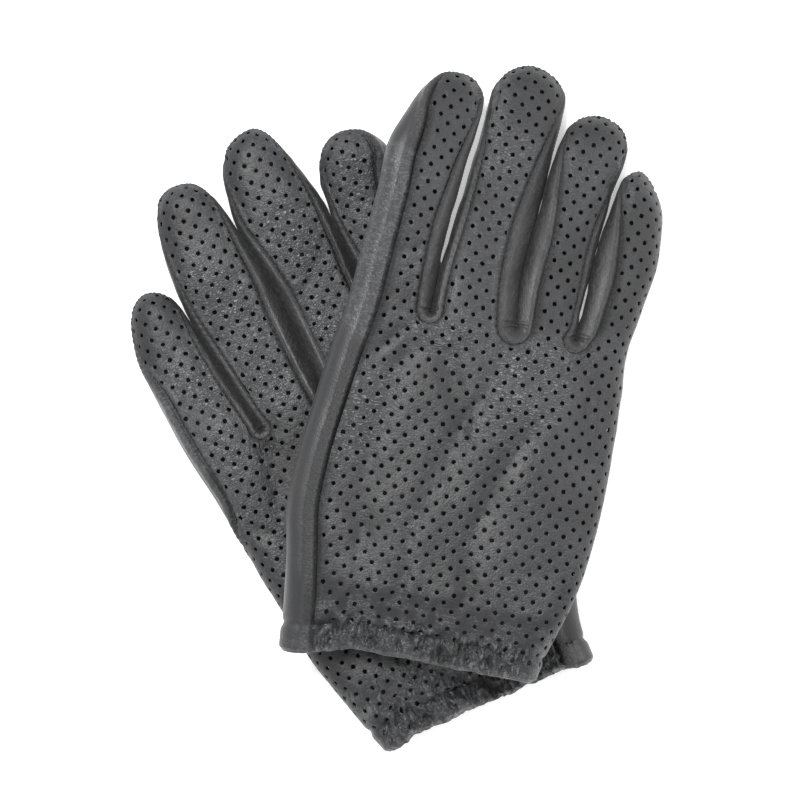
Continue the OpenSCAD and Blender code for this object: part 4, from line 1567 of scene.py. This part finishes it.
def thumb(g, up):
    """Half of a thumb: the one at the palm (up 1) or the one at the table."""
    half = THUMB_THICK / 2
    level = HAND_LEVEL[g] - HAND_HALF - LAYER_GAP - half
    insets = [THUMB_ROUND * (1 - math.cos(a)) for a in np.radians(np.linspace(0, 90, 9))]
    insets += list(np.linspace(THUMB_ROUND, THUMB_TOP_INSET, 6)[1:])
    along = np.arange(THUMB_COUNT) * 1.2
    points, uvs = [], []
    for k, inset in enumerate(insets):
        ring = thumb_ring(inset)
        angle = min(1.0, k / 8) * math.pi / 2
        relief = 0.25 * noise(*ring.T, 11, 93 + g) + 0.12 * noise(*ring.T, 4, 95)
        relief = np.minimum(relief * smooth(inset / 3), 0.2)
        puckers = 0.14 * np.sin(2 * math.pi * along / 2.8) * bell(inset - 0.6, 0.7)
        groove = 0.5 * float(bell(inset, 0.4))
        z = (half - THUMB_SET_IN) * math.sin(angle) + THUMB_LIFT + relief + puckers - groove
        points.append(np.stack([*ring.T, up * z], 1))
        uvs.append(ring + (k * 0.4, 0))
    middle = points[-1].mean(0)
    points, uv = np.concatenate(points + [middle[None]]), np.concatenate(uvs + [middle[None, :2]])
    last_ring = (len(insets) - 1) * THUMB_COUNT
    cap = [(last_ring + c, last_ring + (c + 1) % THUMB_COUNT, len(points) - 1) for c in range(THUMB_COUNT)]
    tris = np.concatenate([grid_tris(len(insets), THUMB_COUNT, ring=True), cap])
    if up < 0:
        tris = tris[:, ::-1]
    # Everything turns with the thumb's lean, then moves to its root
    turn = math.radians(THUMB_SIDE[g] * THUMB_LEAN)
    c, s = math.cos(turn), math.sin(turn)
    points = points @ np.array([[c, s, 0], [-s, c, 0], [0, 0, 1]]) + (*THUMB_AT[g], level)
    normals = normals_of(points, tris)
    if normals[-1, 2] * up < 0:
        tris, normals = tris[:, ::-1], -normals
    normals = turned(g, normals)
    verts, faces, slots = thicken(to_row(g, points), normals, tris, THUMB_LEATHER / 1000, border(tris))
    node = f"{SIDE[g]}_thumb_{'inner' if up > 0 else 'back'}"
    obj = make_object(node + "_leather", verts, faces, both_faces(normals), np.tile(uv, (2, 1)),
                      np.full(len(verts), 0.2), [SMOOTH, FLESH, CUT], slots)
    fix(obj, f"{SIDE[g]}_thumb", node)


for g in (LEFT, RIGHT):
    thumb(g, 1)
    thumb(g, -1)

# ---------------------------------------------------------------- floor
floor_mesh = bpy.data.meshes.new("floor")
floor_mesh.from_pydata([(-3, -3, 0), (3, -3, 0), (3, 3, 0), (-3, 3, 0)], [], [(0, 1, 2, 3)])
floor = bpy.data.objects.new("floor", floor_mesh)
floor_mesh.materials.append(paper())
scene.collection.objects.link(floor)
